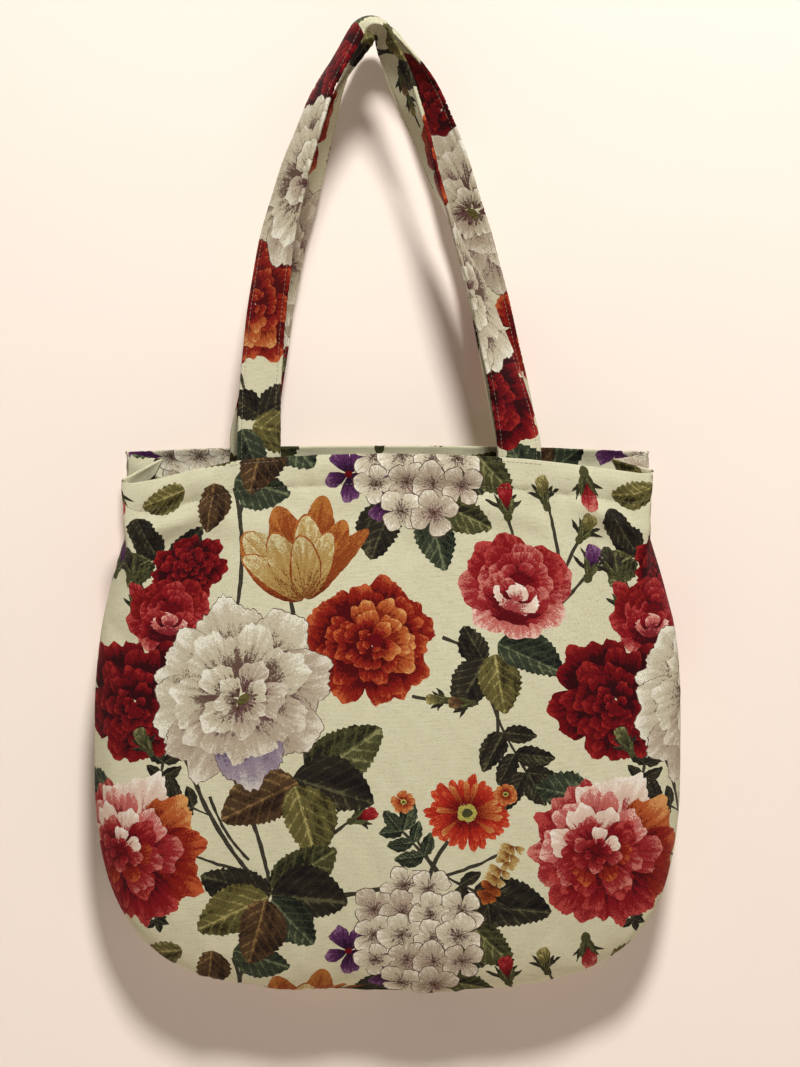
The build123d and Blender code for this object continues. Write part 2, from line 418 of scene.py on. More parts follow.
@dataclass
class FloralRepeat:
    """One repeat of the woven pattern, drawn as patches of yarn, later ones over earlier ones.

    Lengths are in millimetres. The shares and turns in a motif's method are its drawing: shares of
    the motif's size, and degrees from its way or from the weft.
    """

    across: float = 350.0
    down: float = 350.0
    step: float = 2.0
    fray: float = 0.22
    outline: float = 0.7
    floret: float = 19.0
    bells_in_row: int = 7
    seed: int = 11
    shapes: list[Shape] = field(default_factory=list)
    chance: np.random.Generator = field(init=False)

    def __post_init__(self) -> None:
        """Seeds the drawing and draws every motif of the repeat."""
        self.chance = np.random.default_rng(self.seed)
        drawers: dict[Motif, Callable[[Placed], None]] = {
            Motif.PEONY: self.draw_peony,
            Motif.BLOOM: self.draw_bloom,
            Motif.ROSE: self.draw_rose,
            Motif.CABBAGE: self.draw_cabbage,
            Motif.TULIP: self.draw_tulip,
            Motif.DAISY: self.draw_daisy,
            Motif.HYDRANGEA: self.draw_hydrangea,
            Motif.FLORET: self.draw_floret,
            Motif.BUD: self.draw_bud,
            Motif.BELLS: self.draw_bells,
            Motif.LEAF: self.draw_leaf,
            Motif.SPRAY: self.draw_spray,
            Motif.STEM: self.draw_stem,
        }
        for placed in REPEAT:
            drawers[placed.motif](placed)

    def vary(self, amount: float) -> float:
        """Factor near 1 that differs from shape to shape."""
        return 1 + float(self.chance.uniform(-amount, amount))

    def petal(
        self,
        root: Array,
        way: float,
        length: float,
        spread: float,
        yarn: Yarn,
        shade: float = 0.2,
        ruffle: float = 0.05,
        edge: Yarn | None = None,
    ) -> None:
        """Adds a rounded petal with a ruffled edge, opening like a fan from its root.

        Args:
            root: Where the petal grows from.
            way: Its direction in degrees.
            length: From root to tip.
            spread: Half of its opening, in degrees.
            yarn: Its yarn.
            shade: Share of the length at which its dark foot ends.
            ruffle: Share of the length that the edge waves by.
            edge: Yarn of a thin outline, where it has one.
        """
        half = math.radians(spread)
        count = max(11, int(2.4 * half * length / self.step))
        turn = np.linspace(-1, 1, count)
        wave = self.chance.normal(0, 0.2, count)
        for lobes, share in ((self.chance.uniform(1.2, 2.2), 1.0), (self.chance.uniform(3.0, 4.5), 0.5)):
            wave += share * np.sin(turn * lobes * math.pi + self.chance.uniform(0, 2 * math.pi))
        full = 0.42 + 0.58 * (1 - np.abs(turn) ** 2.4) ** 0.5
        radius = length * full * (1 + ruffle * wave)
        angle = math.radians(way) + turn * half
        out = np.stack([np.cos(angle), np.sin(angle)], axis=1)
        laid = Shape(out, yarn, Kind.PETAL, root, math.radians(way), length, half, shade)
        if edge:
            outer = np.vstack([root, root + (radius + self.outline)[:, None] * out])
            self.shapes.append(replace(laid, outline=outer, yarn=edge, kind=Kind.PLAIN))
        self.shapes.append(replace(laid, outline=np.vstack([root, root + radius[:, None] * out])))

    def blade(
        self, root: Array, way: float, length: float, width: float, yarn: Yarn, shade: float | None = None
    ) -> None:
        """Adds a toothed leaf, or a smooth petal with a dark foot.

        Args:
            root: Where it grows from.
            way: Direction of its middle line in degrees.
            length: From root to tip.
            width: Across its widest part.
            yarn: Its yarn.
            shade: Share of the length at which a petal's dark foot ends, or None for a leaf.
        """
        is_leaf = shade is None
        form = LEAF_FORM if is_leaf else PETAL_FORM
        share = np.linspace(form.start, form.end, max(form.least, int(length / self.step)))
        count = len(share)
        full = np.sin(math.pi * share**form.lean) ** form.fullness * width / 2
        along, side = heading(way), heading(way + 90)
        bend = self.chance.uniform(-form.sway, form.sway) * length * np.sin(math.pi * share)
        tooth = np.where(np.arange(count) % 2, 1.0, -1.0) * min(0.8, 0.035 * width)
        edges = []
        for hand in (1, -1):
            teeth = tooth * self.chance.uniform(0.3, 1.5, count) if is_leaf else 0.0
            out = np.maximum(full + (teeth + self.chance.normal(0, self.fray, count)), 0.1)
            edges.append(np.outer(share * length, along) + np.outer(hand * out + bend, side))
        foot = np.zeros((int(is_leaf), 2))
        outline = root + np.vstack([foot, edges[0], along * length, edges[1][::-1]])
        kind, spread = (Kind.LEAF, width / 2) if is_leaf else (Kind.PETAL, math.atan2(width, length))
        self.shapes.append(Shape(outline, yarn, kind, root, math.radians(way), length, spread, shade or 0.0))

    def patch(self, middle: Array, half: Pair, way: float, yarn: Yarn, kind: Kind = Kind.PLAIN) -> None:
        """Adds an oval patch of yarn.

        Args:
            middle: Its middle.
            half: Its half length and half width.
            way: Direction of its length in degrees.
            yarn: Its yarn.
            kind: How it is shaded.
        """
        count = max(8, int(2 * math.pi * max(half) / self.step))
        turn = np.linspace(0, 2 * math.pi, count, endpoint=False)
        edge = 1 + self.chance.normal(0, 0.05, count)
        along, side = heading(way), heading(way + 90)
        rim = np.outer(np.cos(turn) * edge * half[0], along) + np.outer(np.sin(turn) * edge * half[1], side)
        root, spread = middle - along * half[0], 1.2 * math.atan2(half[1], half[0])
        laid = Shape(middle + rim, yarn, kind, root, math.radians(way), 2 * half[0], spread, 0.3)
        self.shapes.append(laid)

    def line(self, points: Array, width: float, yarn: Yarn) -> None:
        """Adds a stalk along a bent line of three points.

        Args:
            points: Start, bend and end.
            width: Width of the stalk.
            yarn: Its yarn.
        """
        start, bend, end = points
        length = float(np.linalg.norm(end - start))
        count = max(4, int(length / (2 * self.step)))
        share = np.linspace(0, 1, count)[:, None]
        run = (1 - share) ** 2 * start + 2 * share * (1 - share) * bend + share**2 * end
        way = unit(np.gradient(run, axis=0))
        side = np.stack([-way[:, 1], way[:, 0]], axis=1)
        left = run + side * (width / 2 + self.chance.normal(0, self.fray, (count, 1)))
        right = run - side * (width / 2 + self.chance.normal(0, self.fray, (count, 1)))
        outline, turn = np.vstack([left, right[::-1]]), math.atan2(*(end - start)[::-1])
        self.shapes.append(Shape(outline, yarn, Kind.PLAIN, start, turn, length, width / 2, 0.0))

    def ring(
        self,
        middle: Array,
        reach: float,
        count: int,
        spread: float,
        yarns: Sequence[Yarn],
        shade: float,
        squash: float = 1.0,
        foot: float = 0.12,
        ruffle: float = 0.05,
        accent: tuple[Yarn, float] | None = None,
    ) -> None:
        """Adds a ring of petals round a middle.

        Args:
            middle: The middle of the ring.
            reach: From the middle to the petals' tips.
            count: How many petals.
            spread: Half opening of a petal in degrees.
            yarns: Yarns to pick from, petal by petal.
            shade: Share of a petal's length at which its dark foot ends.
            squash: Height of the ring as a share of its width.
            foot: Share of the reach at which the petals' roots lie.
            ruffle: Share of the length that the edges wave by.
            accent: Yarn of the petals on one side, and that side's direction in degrees.
        """
        start = self.chance.uniform(0, 360)
        for place in self.chance.permutation(count):
            way = start + 360 * (place + self.chance.uniform(-0.2, 0.2)) / count
            out = heading(way) * np.array([1.0, squash])
            root = middle + out * reach * foot
            length = reach * (1 - foot) * float(np.linalg.norm(out)) * self.vary(0.1)
            yarn = yarns[int(self.chance.integers(len(yarns)))]
            if accent and math.cos(math.radians(way - accent[1])) > self.chance.uniform(0.0, 0.8):
                yarn = accent[0]
            self.petal(root, math.degrees(math.atan2(out[1], out[0])), length, spread, yarn, shade, ruffle)

    def draw_peony(self, placed: Placed) -> None:
        """Draws a wide pale peony, its lower petals tinted.

        Args:
            placed: Its place, way, size and yarn.
        """
        middle, size = placed.at, placed.size
        pale, blush = Yarn.WHITE, Yarn.BLUSH
        ways = (-100, -52, -8, -146, 168, 36, 128, 82)
        lengths = (1.04, 1.0, 0.98, 0.98, 0.98, 0.96, 1.02, 1.0)
        yarns = (pale, pale, blush, pale, pale, blush, blush, Yarn.LILAC)
        for way, length, yarn in zip(ways, lengths, yarns):
            root = middle + heading(way) * size * 0.08
            self.petal(root, way, size * 0.92 * length, 40, yarn, 0.52, 0.06, Yarn.OUTLINE)
        upper, lower = (-122, -72, -20, 172), (40, 130, 86)
        for way in (*upper, *lower):
            yarn = pale if way in upper else blush
            at = way + self.chance.uniform(-9, 9)
            self.petal(middle + heading(way) * size * 0.06, at, size * 0.7, 38, yarn, 0.42, 0.07)
        self.ring(middle + (0, 2), size * 0.5, 5, 42, (pale, pale, blush), 0.3, 0.9, 0.1, 0.08)
        self.ring(middle + (0, 4), size * 0.3, 4, 44, (pale, blush), 0.25, 0.85, 0.1, 0.09)
        heart = middle + (2, 4)
        self.patch(heart, (size * 0.08, size * 0.05), -40, Yarn.OLIVE_LEAF)
        for way in range(0, 360, 40):
            self.patch(heart + heading(way) * size * 0.12, (1.4, 0.9), way, Yarn.BROWN_LEAF)

    def draw_bloom(self, placed: Placed) -> None:
        """Draws a full, ruffled bloom of many rings, an orange one with amber inside.

        Args:
            placed: Its place, way, size and yarn.
        """
        middle, size = placed.at, placed.size
        accent = (Yarn.AMBER, placed.way) if placed.yarn is Yarn.ORANGE else None
        lean = heading(placed.way) * size * 0.14
        reaches = (1.0, 0.84, 0.68, 0.53, 0.39, 0.26, 0.15)
        counts, spreads = (7, 7, 8, 7, 6, 5, 4), (36, 34, 32, 34, 36, 38, 42)
        for order, (reach, count, spread) in enumerate(zip(reaches, counts, spreads)):
            inner = reaches[order + 1] / reach if order + 1 < len(reaches) else 0.1
            at = middle + lean * (1 - reach) + self.chance.uniform(-0.03, 0.03, 2) * size
            tinted = accent if 2 <= order <= 4 else None
            self.ring(at, size * reach, count, spread, (placed.yarn,), inner - 0.12, 0.94, 0.1, 0.06, tinted)
        self.patch(middle + lean, (size * 0.12, size * 0.09), 20, Yarn.MAROON)

    def draw_rose(self, placed: Placed) -> None:
        """Draws an open rose seen into its cup from the front.

        Args:
            placed: Its place, way, size and yarn.
        """
        middle, size, own = placed.at, placed.size, placed.yarn
        pale, deep, pink = Yarn.SHELL, Yarn.CRIMSON, Yarn.PINK
        if own is Yarn.CRIMSON:
            pale, deep, pink = Yarn.PINK, Yarn.MAROON, Yarn.ROSE
        up, side = heading(placed.way), heading(placed.way + 90)
        heart = middle + up * size * 0.14

        def fans(foot: Array, length: float, spread: float, *petals: tuple[float, Yarn]) -> None:
            """Petals that open from one foot, each at its turn from the rose's way.

            Args:
                foot: Where they grow from.
                length: Their length.
                spread: Their width.
                petals: Each one's turn and yarn.
            """
            for turn, yarn in petals:
                way = placed.way + turn + self.chance.uniform(-5, 5)
                self.petal(foot, way, size * length * self.vary(0.05), spread, yarn, 0.4, 0.03)

        def cup(drop: float, aside: float, half: Pair, turn: float, yarn: Yarn) -> None:
            """A petal of the cup's near wall, as an oval with its edge towards the heart."""
            at = heart - up * size * drop + side * size * aside
            self.patch(at, (size * half[0], size * half[1]), placed.way + turn, yarn, Kind.PETAL)

        fans(middle, 1.02, 38, (-148, pink), (160, pink), (-108, own), (-66, deep), (62, own))
        fans(middle, 0.96, 36, (112, pink), (28, deep), (-26, deep))
        fans(heart, 0.74, 38, (100, own), (-100, own), (60, deep), (-60, deep), (0, own))
        cup(0.42, 0.0, (0.4, 0.66), 0, own)
        fans(heart, 0.56, 36, (86, own), (-86, own), (50, own), (-50, deep), (0, own))
        cup(0.3, 0.3, (0.34, 0.3), 24, own)
        cup(0.3, -0.3, (0.34, 0.3), -24, own)
        fans(heart, 0.38, 40, (70, deep), (-70, own), (10, own))
        self.patch(heart, (size * 0.15, size * 0.2), placed.way, Yarn.MAROON)
        cup(0.34, 0.02, (0.27, 0.42), 4, pale)
        cup(0.22, 0.17, (0.2, 0.15), 30, own)
        cup(0.22, -0.16, (0.2, 0.16), -26, own)
        cup(0.24, 0.02, (0.15, 0.2), 0, pale)

    def draw_cabbage(self, placed: Placed) -> None:
        """Draws a large heavy rose with white, red and orange petals.

        Args:
            placed: Its place, way, size and yarn.
        """
        middle, size = placed.at, placed.size
        red, white, rose, orange = Yarn.CRIMSON, Yarn.SHELL, Yarn.ROSE, Yarn.ORANGE
        ways = (-72, -36, 0, 34, 66, 100, 134, 168, -158, -124, -98)
        lengths = (1.04, 1.0, 1.0, 1.04, 1.0, 0.98, 0.98, 0.98, 0.95, 0.98, 0.92)
        yarns = (white, Yarn.AMBER, orange, orange, red, red, red, rose, red, rose, white)
        for way, length, yarn in zip(ways, lengths, yarns):
            self.petal(middle, way, size * length, 31, yarn, 0.5, 0.06)
        at = middle - heading(0) * size * 0.12
        self.ring(at, size * 0.8, 8, 32, (red, rose, red), 0.5, 0.95, 0.1, 0.05, (Yarn.PINK, -110))
        self.ring(at, size * 0.64, 8, 32, (red, rose), 0.46, 0.95, 0.1, 0.05, (white, -120))
        self.ring(at, size * 0.48, 7, 33, (rose, red, orange), 0.4, 0.92, 0.1, 0.05)
        self.ring(at, size * 0.34, 6, 34, (red, rose), 0.3, 0.9, 0.1, 0.05, (white, -60))
        self.ring(at, size * 0.2, 5, 38, (red,), 0.2, 0.9)
        self.patch(at - heading(90) * size * 0.02, (size * 0.08, size * 0.06), 40, Yarn.MAROON)

    def draw_tulip(self, placed: Placed) -> None:
        """Draws an open tulip, growing from its foot along its way.

        Args:
            placed: Its place, way, size and yarn.
        """
        size, own, flame = placed.size, placed.yarn, Yarn.FLAME
        root = placed.at - heading(placed.way) * size * 0.03
        turns = (50, -10, 17, -34, 34, 8, -46, 28, -19, 3)
        lengths = (0.96, 1.02, 1.08, 0.96, 0.9, 0.88, 0.8, 0.74, 0.78, 0.66)
        widths = (0.2, 0.38, 0.36, 0.4, 0.3, 0.34, 0.26, 0.28, 0.34, 0.3)
        yarns = (flame, flame, flame, own, flame, own, own, own, own, own)
        for turn, length, width, yarn in zip(turns, lengths, widths, yarns):
            self.blade(root, placed.way + turn, size * length + 1.0, size * width + 2.0, flame, 0.0)
            self.blade(root, placed.way + turn, size * length - 0.6, size * width, yarn, 0.02)

    def draw_daisy(self, placed: Placed) -> None:
        """Draws a daisy with two rows of narrow petals and a ring-shaped eye.

        Args:
            placed: Its place, way, size and yarn.
        """
        middle, size, own = placed.at, placed.size, placed.yarn
        count = max(9, int(size * 0.75))
        self.ring(middle, size, count, 290 / count, (own,), 0.3, 0.9, ruffle=0.03)
        self.ring(middle, size * 0.82, count, 230 / count, (own, own, Yarn.AMBER), 0.3, 0.9, ruffle=0.03)
        self.patch(middle, (size * 0.25, size * 0.22), 0, Yarn.EYE)
        self.patch(middle, (size * 0.13, size * 0.11), 0, Yarn.GREEN_LEAF)

    def draw_floret(self, placed: Placed) -> None:
        """Draws one dark five-petalled floret.

        Args:
            placed: Its place, way, size and yarn.
        """
        middle, size = placed.at, placed.size
        for turn in range(0, 360, 72):
            way = placed.way + turn + self.chance.uniform(-8, 8)
            self.petal(middle, way, size * self.vary(0.12), 33, placed.yarn, 0.25)
        self.patch(middle, (size * 0.16, size * 0.14), 0, Yarn.MAROON)

    def draw_hydrangea(self, placed: Placed) -> None:
        """Draws a head of outlined pale florets of four petals.

        Args:
            placed: Its place, way, size and yarn.
        """
        size, across = placed.size, self.floret
        rows = int(2 * size / across) + 1
        for row in range(rows):
            height = (row - (rows - 1) / 2) * across
            wide = math.sqrt(max(size**2 - height**2, 0.0)) * 1.05
            places = max(1, int(2 * wide / across))
            for place in range(places):
                shift = (place - (places - 1) / 2) * across * 1.06
                at = placed.at + np.array([shift, height]) + self.chance.uniform(-2.5, 2.5, 2)
                way = self.chance.uniform(0, 90)
                yarn = placed.yarn if self.chance.uniform() < 0.7 else Yarn.BLUSH
                for quarter in range(4):
                    length = across * 0.84 * self.vary(0.14)
                    self.petal(at, way + 90 * quarter, length, 44, yarn, 0.05, 0.04, Yarn.OUTLINE)
                self.patch(at, (1.2, 1.0), 0, Yarn.BROWN_LEAF)

    def draw_bud(self, placed: Placed) -> None:
        """Draws a bud with its whiskered calyx, growing from its foot along its way.

        Args:
            placed: Its place, way, size and yarn.
        """
        foot, size, way = placed.at, placed.size, placed.way
        out = heading(way)
        for turn in (-62, 58, -34, 36):
            self.blade(foot + out * size * 0.2, way + turn, size * 0.62 * self.vary(0.2), 3.4, Yarn.DARK_LEAF)
        self.petal(foot + out * size * 0.1, way, size * 0.92, 24, placed.yarn, 0.2, 0.03)
        self.petal(foot + out * size * 0.1, way - 12, size * 0.7, 15, placed.yarn, 0.3, 0.03)
        for turn in (-20, 18):
            self.blade(foot, way + turn, size * 0.62, size * 0.2, Yarn.GREEN_LEAF)
        self.patch(foot, (size * 0.17, size * 0.13), way, Yarn.GREEN_LEAF)

    def draw_bells(self, placed: Placed) -> None:
        """Draws a hanging row of small bells, the last two darker.

        Args:
            placed: Its place, way, size and yarn.
        """
        for place in range(self.bells_in_row):
            at = placed.at + heading(placed.way) * placed.size * place / self.bells_in_row
            yarn = placed.yarn if place < self.bells_in_row - 2 else Yarn.FLAME
            for turn in (-70, 70, 0):
                self.petal(at, placed.way + turn + self.chance.uniform(-20, 20), 9 * self.vary(0.2), 34, yarn)

    def draw_leaf(self, placed: Placed) -> None:
        """Draws one leaf."""
        self.blade(placed.at, placed.way, placed.size, placed.size * 0.66 * self.vary(0.12), placed.yarn)

    def draw_spray(self, placed: Placed) -> None:
        """Draws a small branch with paired leaflets.

        Args:
            placed: Its place, way, size and yarn.
        """
        foot, size, way = placed.at, placed.size, placed.way
        out = heading(way)
        bend = heading(way + 90) * size * 0.06
        self.line(np.array([foot, foot + out * size * 0.5 + bend, foot + out * size]), 2.0, Yarn.STEM)
        for share in (0.35, 0.62, 0.86):
            for turn in (-58, 55):
                length = size * 0.44 * self.vary(0.2)
                at = foot + out * size * share + bend * 0.6
                self.blade(at, way + turn, length, length * 0.56, placed.yarn)
        self.blade(foot + out * size * 0.9, way, size * 0.4, size * 0.24, placed.yarn)

    def draw_stem(self, placed: Placed) -> None:
        """Draws a bent stalk.

        Args:
            placed: Its place, way, size and yarn.
        """
        start, end = placed.at, placed.to
        across = np.array([start[1] - end[1], end[0] - start[0]]) * self.chance.uniform(-0.16, 0.16)
        self.line(np.array([start, (start + end) / 2 + across, end]), placed.size, placed.yarn)

    def cut(self, low: Pair, high: Pair, shift: Pair, along_weft: bool = False) -> list[Shape]:
        """Patches that fall on a piece of cloth cut from the repeating pattern.

        Args:
            low: Lowest corner of the piece in its own flat coordinates.
            high: Its highest corner.
            shift: How far the piece is moved over the pattern.
            along_weft: True for a piece whose length runs against the weft.

        Returns:
            The patches in the piece's coordinates, in drawing order.
        """
        found = []
        repeats = np.array([self.down, self.across] if along_weft else [self.across, self.down])
        for drawn in self.shapes:
            shape = drawn.moved(-np.array(shift))
            if along_weft:
                shape = shape.turned()
            least, most = shape.outline.min(axis=0), shape.outline.max(axis=0)
            first = np.ceil((np.array(low) - most) / repeats).astype(int)
            last = np.floor((np.array(high) - least) / repeats).astype(int)
            for row in range(first[1], last[1] + 1):
                for column in range(first[0], last[0] + 1):
                    found.append(shape.moved(np.array([column, row]) * repeats))
        return found


class FlatCut:
    """A flat piece of cloth, divided into triangles along its outline and its patches of yarn."""

    # Points that lie closer than this, in millimetres, become one.
    NEAREST = 0.01

    def __init__(self, outline: Array, shapes: Sequence[Shape], lattice: float, finer: Array) -> None:
        """Divides the piece.

        Args:
            outline: Corners of the piece.
            shapes: Patches of yarn, later ones over earlier ones.
            lattice: Distance between the points that let the cloth bend.
            finer: More points, where the cloth bends sharply.
        """
        rings = [outline] + [shape.outline for shape in shapes]
        edges = []
        used = 0
        for ring in rings:
            first = np.arange(used, used + len(ring))
            edges.append(np.column_stack([first, np.roll(first, -1)]))
            used += len(ring)
        points = np.vstack(rings + [self.lattice(outline, lattice), finer])
        made = delaunay_2d_cdt(points.tolist(), np.vstack(edges).tolist(), [], 0, self.NEAREST, False)
        found = np.array([tuple(point) for point in made[0]])
        triangles = np.array(made[2])
        middles = found[triangles].mean(axis=1)
        inside = within(outline, middles)
        kept, corners = np.unique(triangles[inside], return_inverse=True)
        self.points = found[kept]
        self.triangles = corners.reshape(-1, 3)
        self.top = self.topmost(shapes, middles[inside])
        plain = Shape(outline, Yarn.GROUND, Kind.PLAIN, np.zeros(2), 0.0, 1.0, 1.0, 0.0)
        self.shapes = [plain, *shapes]

    @staticmethod
    def topmost(shapes: Sequence[Shape], middles: Array) -> Array:
        """Number of the last patch over each place, from 1, or 0 for the ground.

        Args:
            shapes: Patches in drawing order.
            middles: The places.

        Returns:
            One number for each place.
        """
        top = np.zeros(len(middles), int)
        order = np.argsort(middles[:, 1])
        heights = middles[order, 1]
        for number, shape in enumerate(shapes, start=1):
            low, high = shape.outline.min(axis=0), shape.outline.max(axis=0)
            near = order[np.searchsorted(heights, low[1]):np.searchsorted(heights, high[1])]
            near = near[(middles[near, 0] > low[0]) & (middles[near, 0] < high[0])]
            top[near[within(shape.outline, middles[near])]] = number
        return top

    @staticmethod
    def lattice(outline: Array, pitch: float) -> Array:
        """Points in staggered rows over the piece's box.

        Args:
            outline: Corners of the piece.
            pitch: Distance between points.

        Returns:
            The points, one row each.
        """
        low, high = outline.min(axis=0), outline.max(axis=0)
        rows = np.arange(low[1] + pitch / 2, high[1], pitch)
        columns = np.arange(low[0] + pitch / 4, high[0], pitch)
        across, down = np.meshgrid(columns, rows)
        across[::2] += pitch / 2
        return np.stack([across.ravel(), down.ravel()], axis=1)

    def area(self) -> float:
        """Flat area in square metres.

        Returns:
            The area.
        """
        a, b, c = (self.points[self.triangles[:, corner]] for corner in range(3))
        ab, ac = b - a, c - a
        return float(np.abs(ab[:, 0] * ac[:, 1] - ab[:, 1] * ac[:, 0]).sum() / 2) * MM * MM

    def boundary(self) -> Array:
        """Edges that belong to one triangle only, in that triangle's order, with the triangle's number.

        Returns:
            Rows of two points and a triangle.
        """
        edges = np.vstack([self.triangles[:, [0, 1]], self.triangles[:, [1, 2]], self.triangles[:, [2, 0]]])
        owner = np.tile(np.arange(len(self.triangles)), 3)
        keys = np.sort(edges, axis=1)
        _, first, count = np.unique(keys, axis=0, return_index=True, return_counts=True)
        alone = first[count == 1]
        return np.column_stack([edges[alone], owner[alone]])


class ClothTable:
    """A curved cloth surface as a table of points, read at any place between them."""

    def __init__(self, columns: Array, rows: Array, points: Array, side: int) -> None:
        """Keeps the table and works out its normals.

        Args:
            columns: Coordinate of each column.
            rows: Coordinate of each row.
            points: Points in millimetres, by row and column.
            side: Sign that turns the normals to the face side.
        """
        self.columns, self.rows, self.points = columns, rows, points
        across, down = np.gradient(points, axis=1), np.gradient(points, axis=0)
        normals = np.cross(across, down) * side
        size = np.linalg.norm(normals, axis=2, keepdims=True)
        self.normals = normals / np.maximum(size, 1e-9)

    def read(self, across: Array, down: Array) -> tuple[Array, Array]:
        """Points and normals at places in the table's coordinates.

        Args:
            across: Column coordinates.
            down: Row coordinates.

        Returns:
            The points in millimetres and the unit normals.
        """
        column = np.interp(across, self.columns, np.arange(len(self.columns)))
        row = np.interp(down, self.rows, np.arange(len(self.rows)))
        left = np.minimum(column.astype(int), len(self.columns) - 2)
        top = np.minimum(row.astype(int), len(self.rows) - 2)
        share_across, share_down = (column - left)[:, None], (row - top)[:, None]
        found = []
        for table in (self.points, self.normals):
            upper = mix(table[top, left], table[top, left + 1], share_across)
            lower = mix(table[top + 1, left], table[top + 1, left + 1], share_across)
            found.append(mix(upper, lower, share_down))
        points, normals = found
        return points, normals / np.maximum(np.linalg.norm(normals, axis=1, keepdims=True), 1e-9)


@dataclass(frozen=True)
class BodyForm:
    """The hanging body as level sections below the rim, in millimetres."""

    height: float = 398.0
    belly_drop: float = 220.0
    mouth_width: float = 392.0
    belly_width: float = 432.0
    belly_fold_width: float = 344.0
    mouth_depth: float = 42.0
    belly_depth: float = 84.0
    fold_setback: float = 2.0
    belly_fold_setback: float = 12.0
    side_tuck: float = 34.0
    crease_starts: float = 40.0
    crease_ends: float = 140.0
    shift: float = 9.0
    front_rim_drop: float = 316.0
    back_rim_drop: float = 309.0
    front_rim_sag: float = 16.0
    back_rim_sag: float = 4.0
    hem_depth: float = 26.0
    cloth: float = 1.2
    strap_spacing: float = 193.0
    opening_share: float = 2.5
    width_fall_share: float = 2.8
    width_round_share: float = 0.25
    depth_fall_share: float = 2.6
    depth_round_share: float = 0.5
    corner_pull_share: float = 0.6
    face_steps: int = 160
    side_steps: int = 80
    evening_passes: int = 8

    @property
    def rim_drop(self) -> float:
        """Drop of the rim below the peg, midway between front and back."""
        return (self.front_rim_drop + self.back_rim_drop) / 2

    def level(self, drop: Array) -> tuple[Array, Array, Array, Array, Array]:
        """Half sizes of the body at drops below the rim.

        Args:
            drop: Drops below the rim.

        Returns:
            Distances of the seam and the fold from the middle, of the fold and the crown from the seam
            plane, and how round the side is.
        """
        swell = smooth(drop / self.belly_drop)
        opened = 1 - (1 - np.clip(drop / self.belly_drop, 0, 1)) ** self.opening_share
        roundness = smooth((drop - self.crease_starts) / (self.crease_ends - self.crease_starts))
        fall = np.clip((drop - self.belly_drop) / (self.height - self.belly_drop), 0, 1)
        narrow = (1 - fall**self.width_fall_share) ** self.width_round_share
        shallow = (1 - fall**self.depth_fall_share) ** self.depth_round_share
        seam = mix(self.mouth_width / 2 - self.side_tuck, self.belly_width / 2, opened) * narrow
        fold = mix(self.mouth_width, self.belly_fold_width, swell) / 2 * narrow
        crown = mix(self.mouth_depth, self.belly_depth, swell) / 2 * shallow
        setback = mix(self.fold_setback, self.belly_fold_setback, swell) * shallow
        return seam, fold, crown - setback, crown, roundness

    def section(self, drop: float, shares: Array) -> tuple[Array, float]:
        """Half of a level section from its middle to the side seam.

        Args:
            drop: Drop below the rim.
            shares: Shares of the section's length to give points for.

        Returns:
            Points across and deep, and the section's length.
        """
        seam, fold, fold_depth, crown, roundness = (float(v) for v in self.level(np.float64(drop)))
        out = np.linspace(0, 1, self.face_steps)
        face = np.stack([out * fold, crown - (crown - fold_depth) * out**2], axis=1)
        start, end = np.array([seam, 0.0]), np.array([fold, fold_depth])
        reach = seam - fold
        slope = 2 * (crown - fold_depth) / max(fold, 1e-6)
        pull = self.corner_pull_share
        leave = mix(start + (end - start) / 3, start + np.array([0.0, fold_depth]) * pull, roundness)
        arrive = mix(end - (end - start) / 3, end + np.array([reach, -slope * reach]) * pull, roundness)
        back = np.linspace(1, 0, self.side_steps)[1:, None]
        run = np.vstack([face, bezier(start, leave, arrive, end, back)])
        length = run_lengths(run)
        even = read_along(shares * length[-1], length, run)
        return evened(even, self.evening_passes), float(length[-1])

    def rim_lift(self, across: Array, depth: Array) -> Array:
        """Drop of the rim's edge below the middle rim height.

        Args:
            across: Places across the bag, from the middle of the body.
            depth: Places from the seam plane, front negative.

        Returns:
            The drops, negative where the rim stands higher.
        """
        share = depth / self.mouth_depth + 0.5
        sag = mix(self.front_rim_sag, self.back_rim_sag, share) * (2 * across / self.mouth_width) ** 2
        return mix(self.front_rim_drop, self.back_rim_drop, share) + sag - self.rim_drop


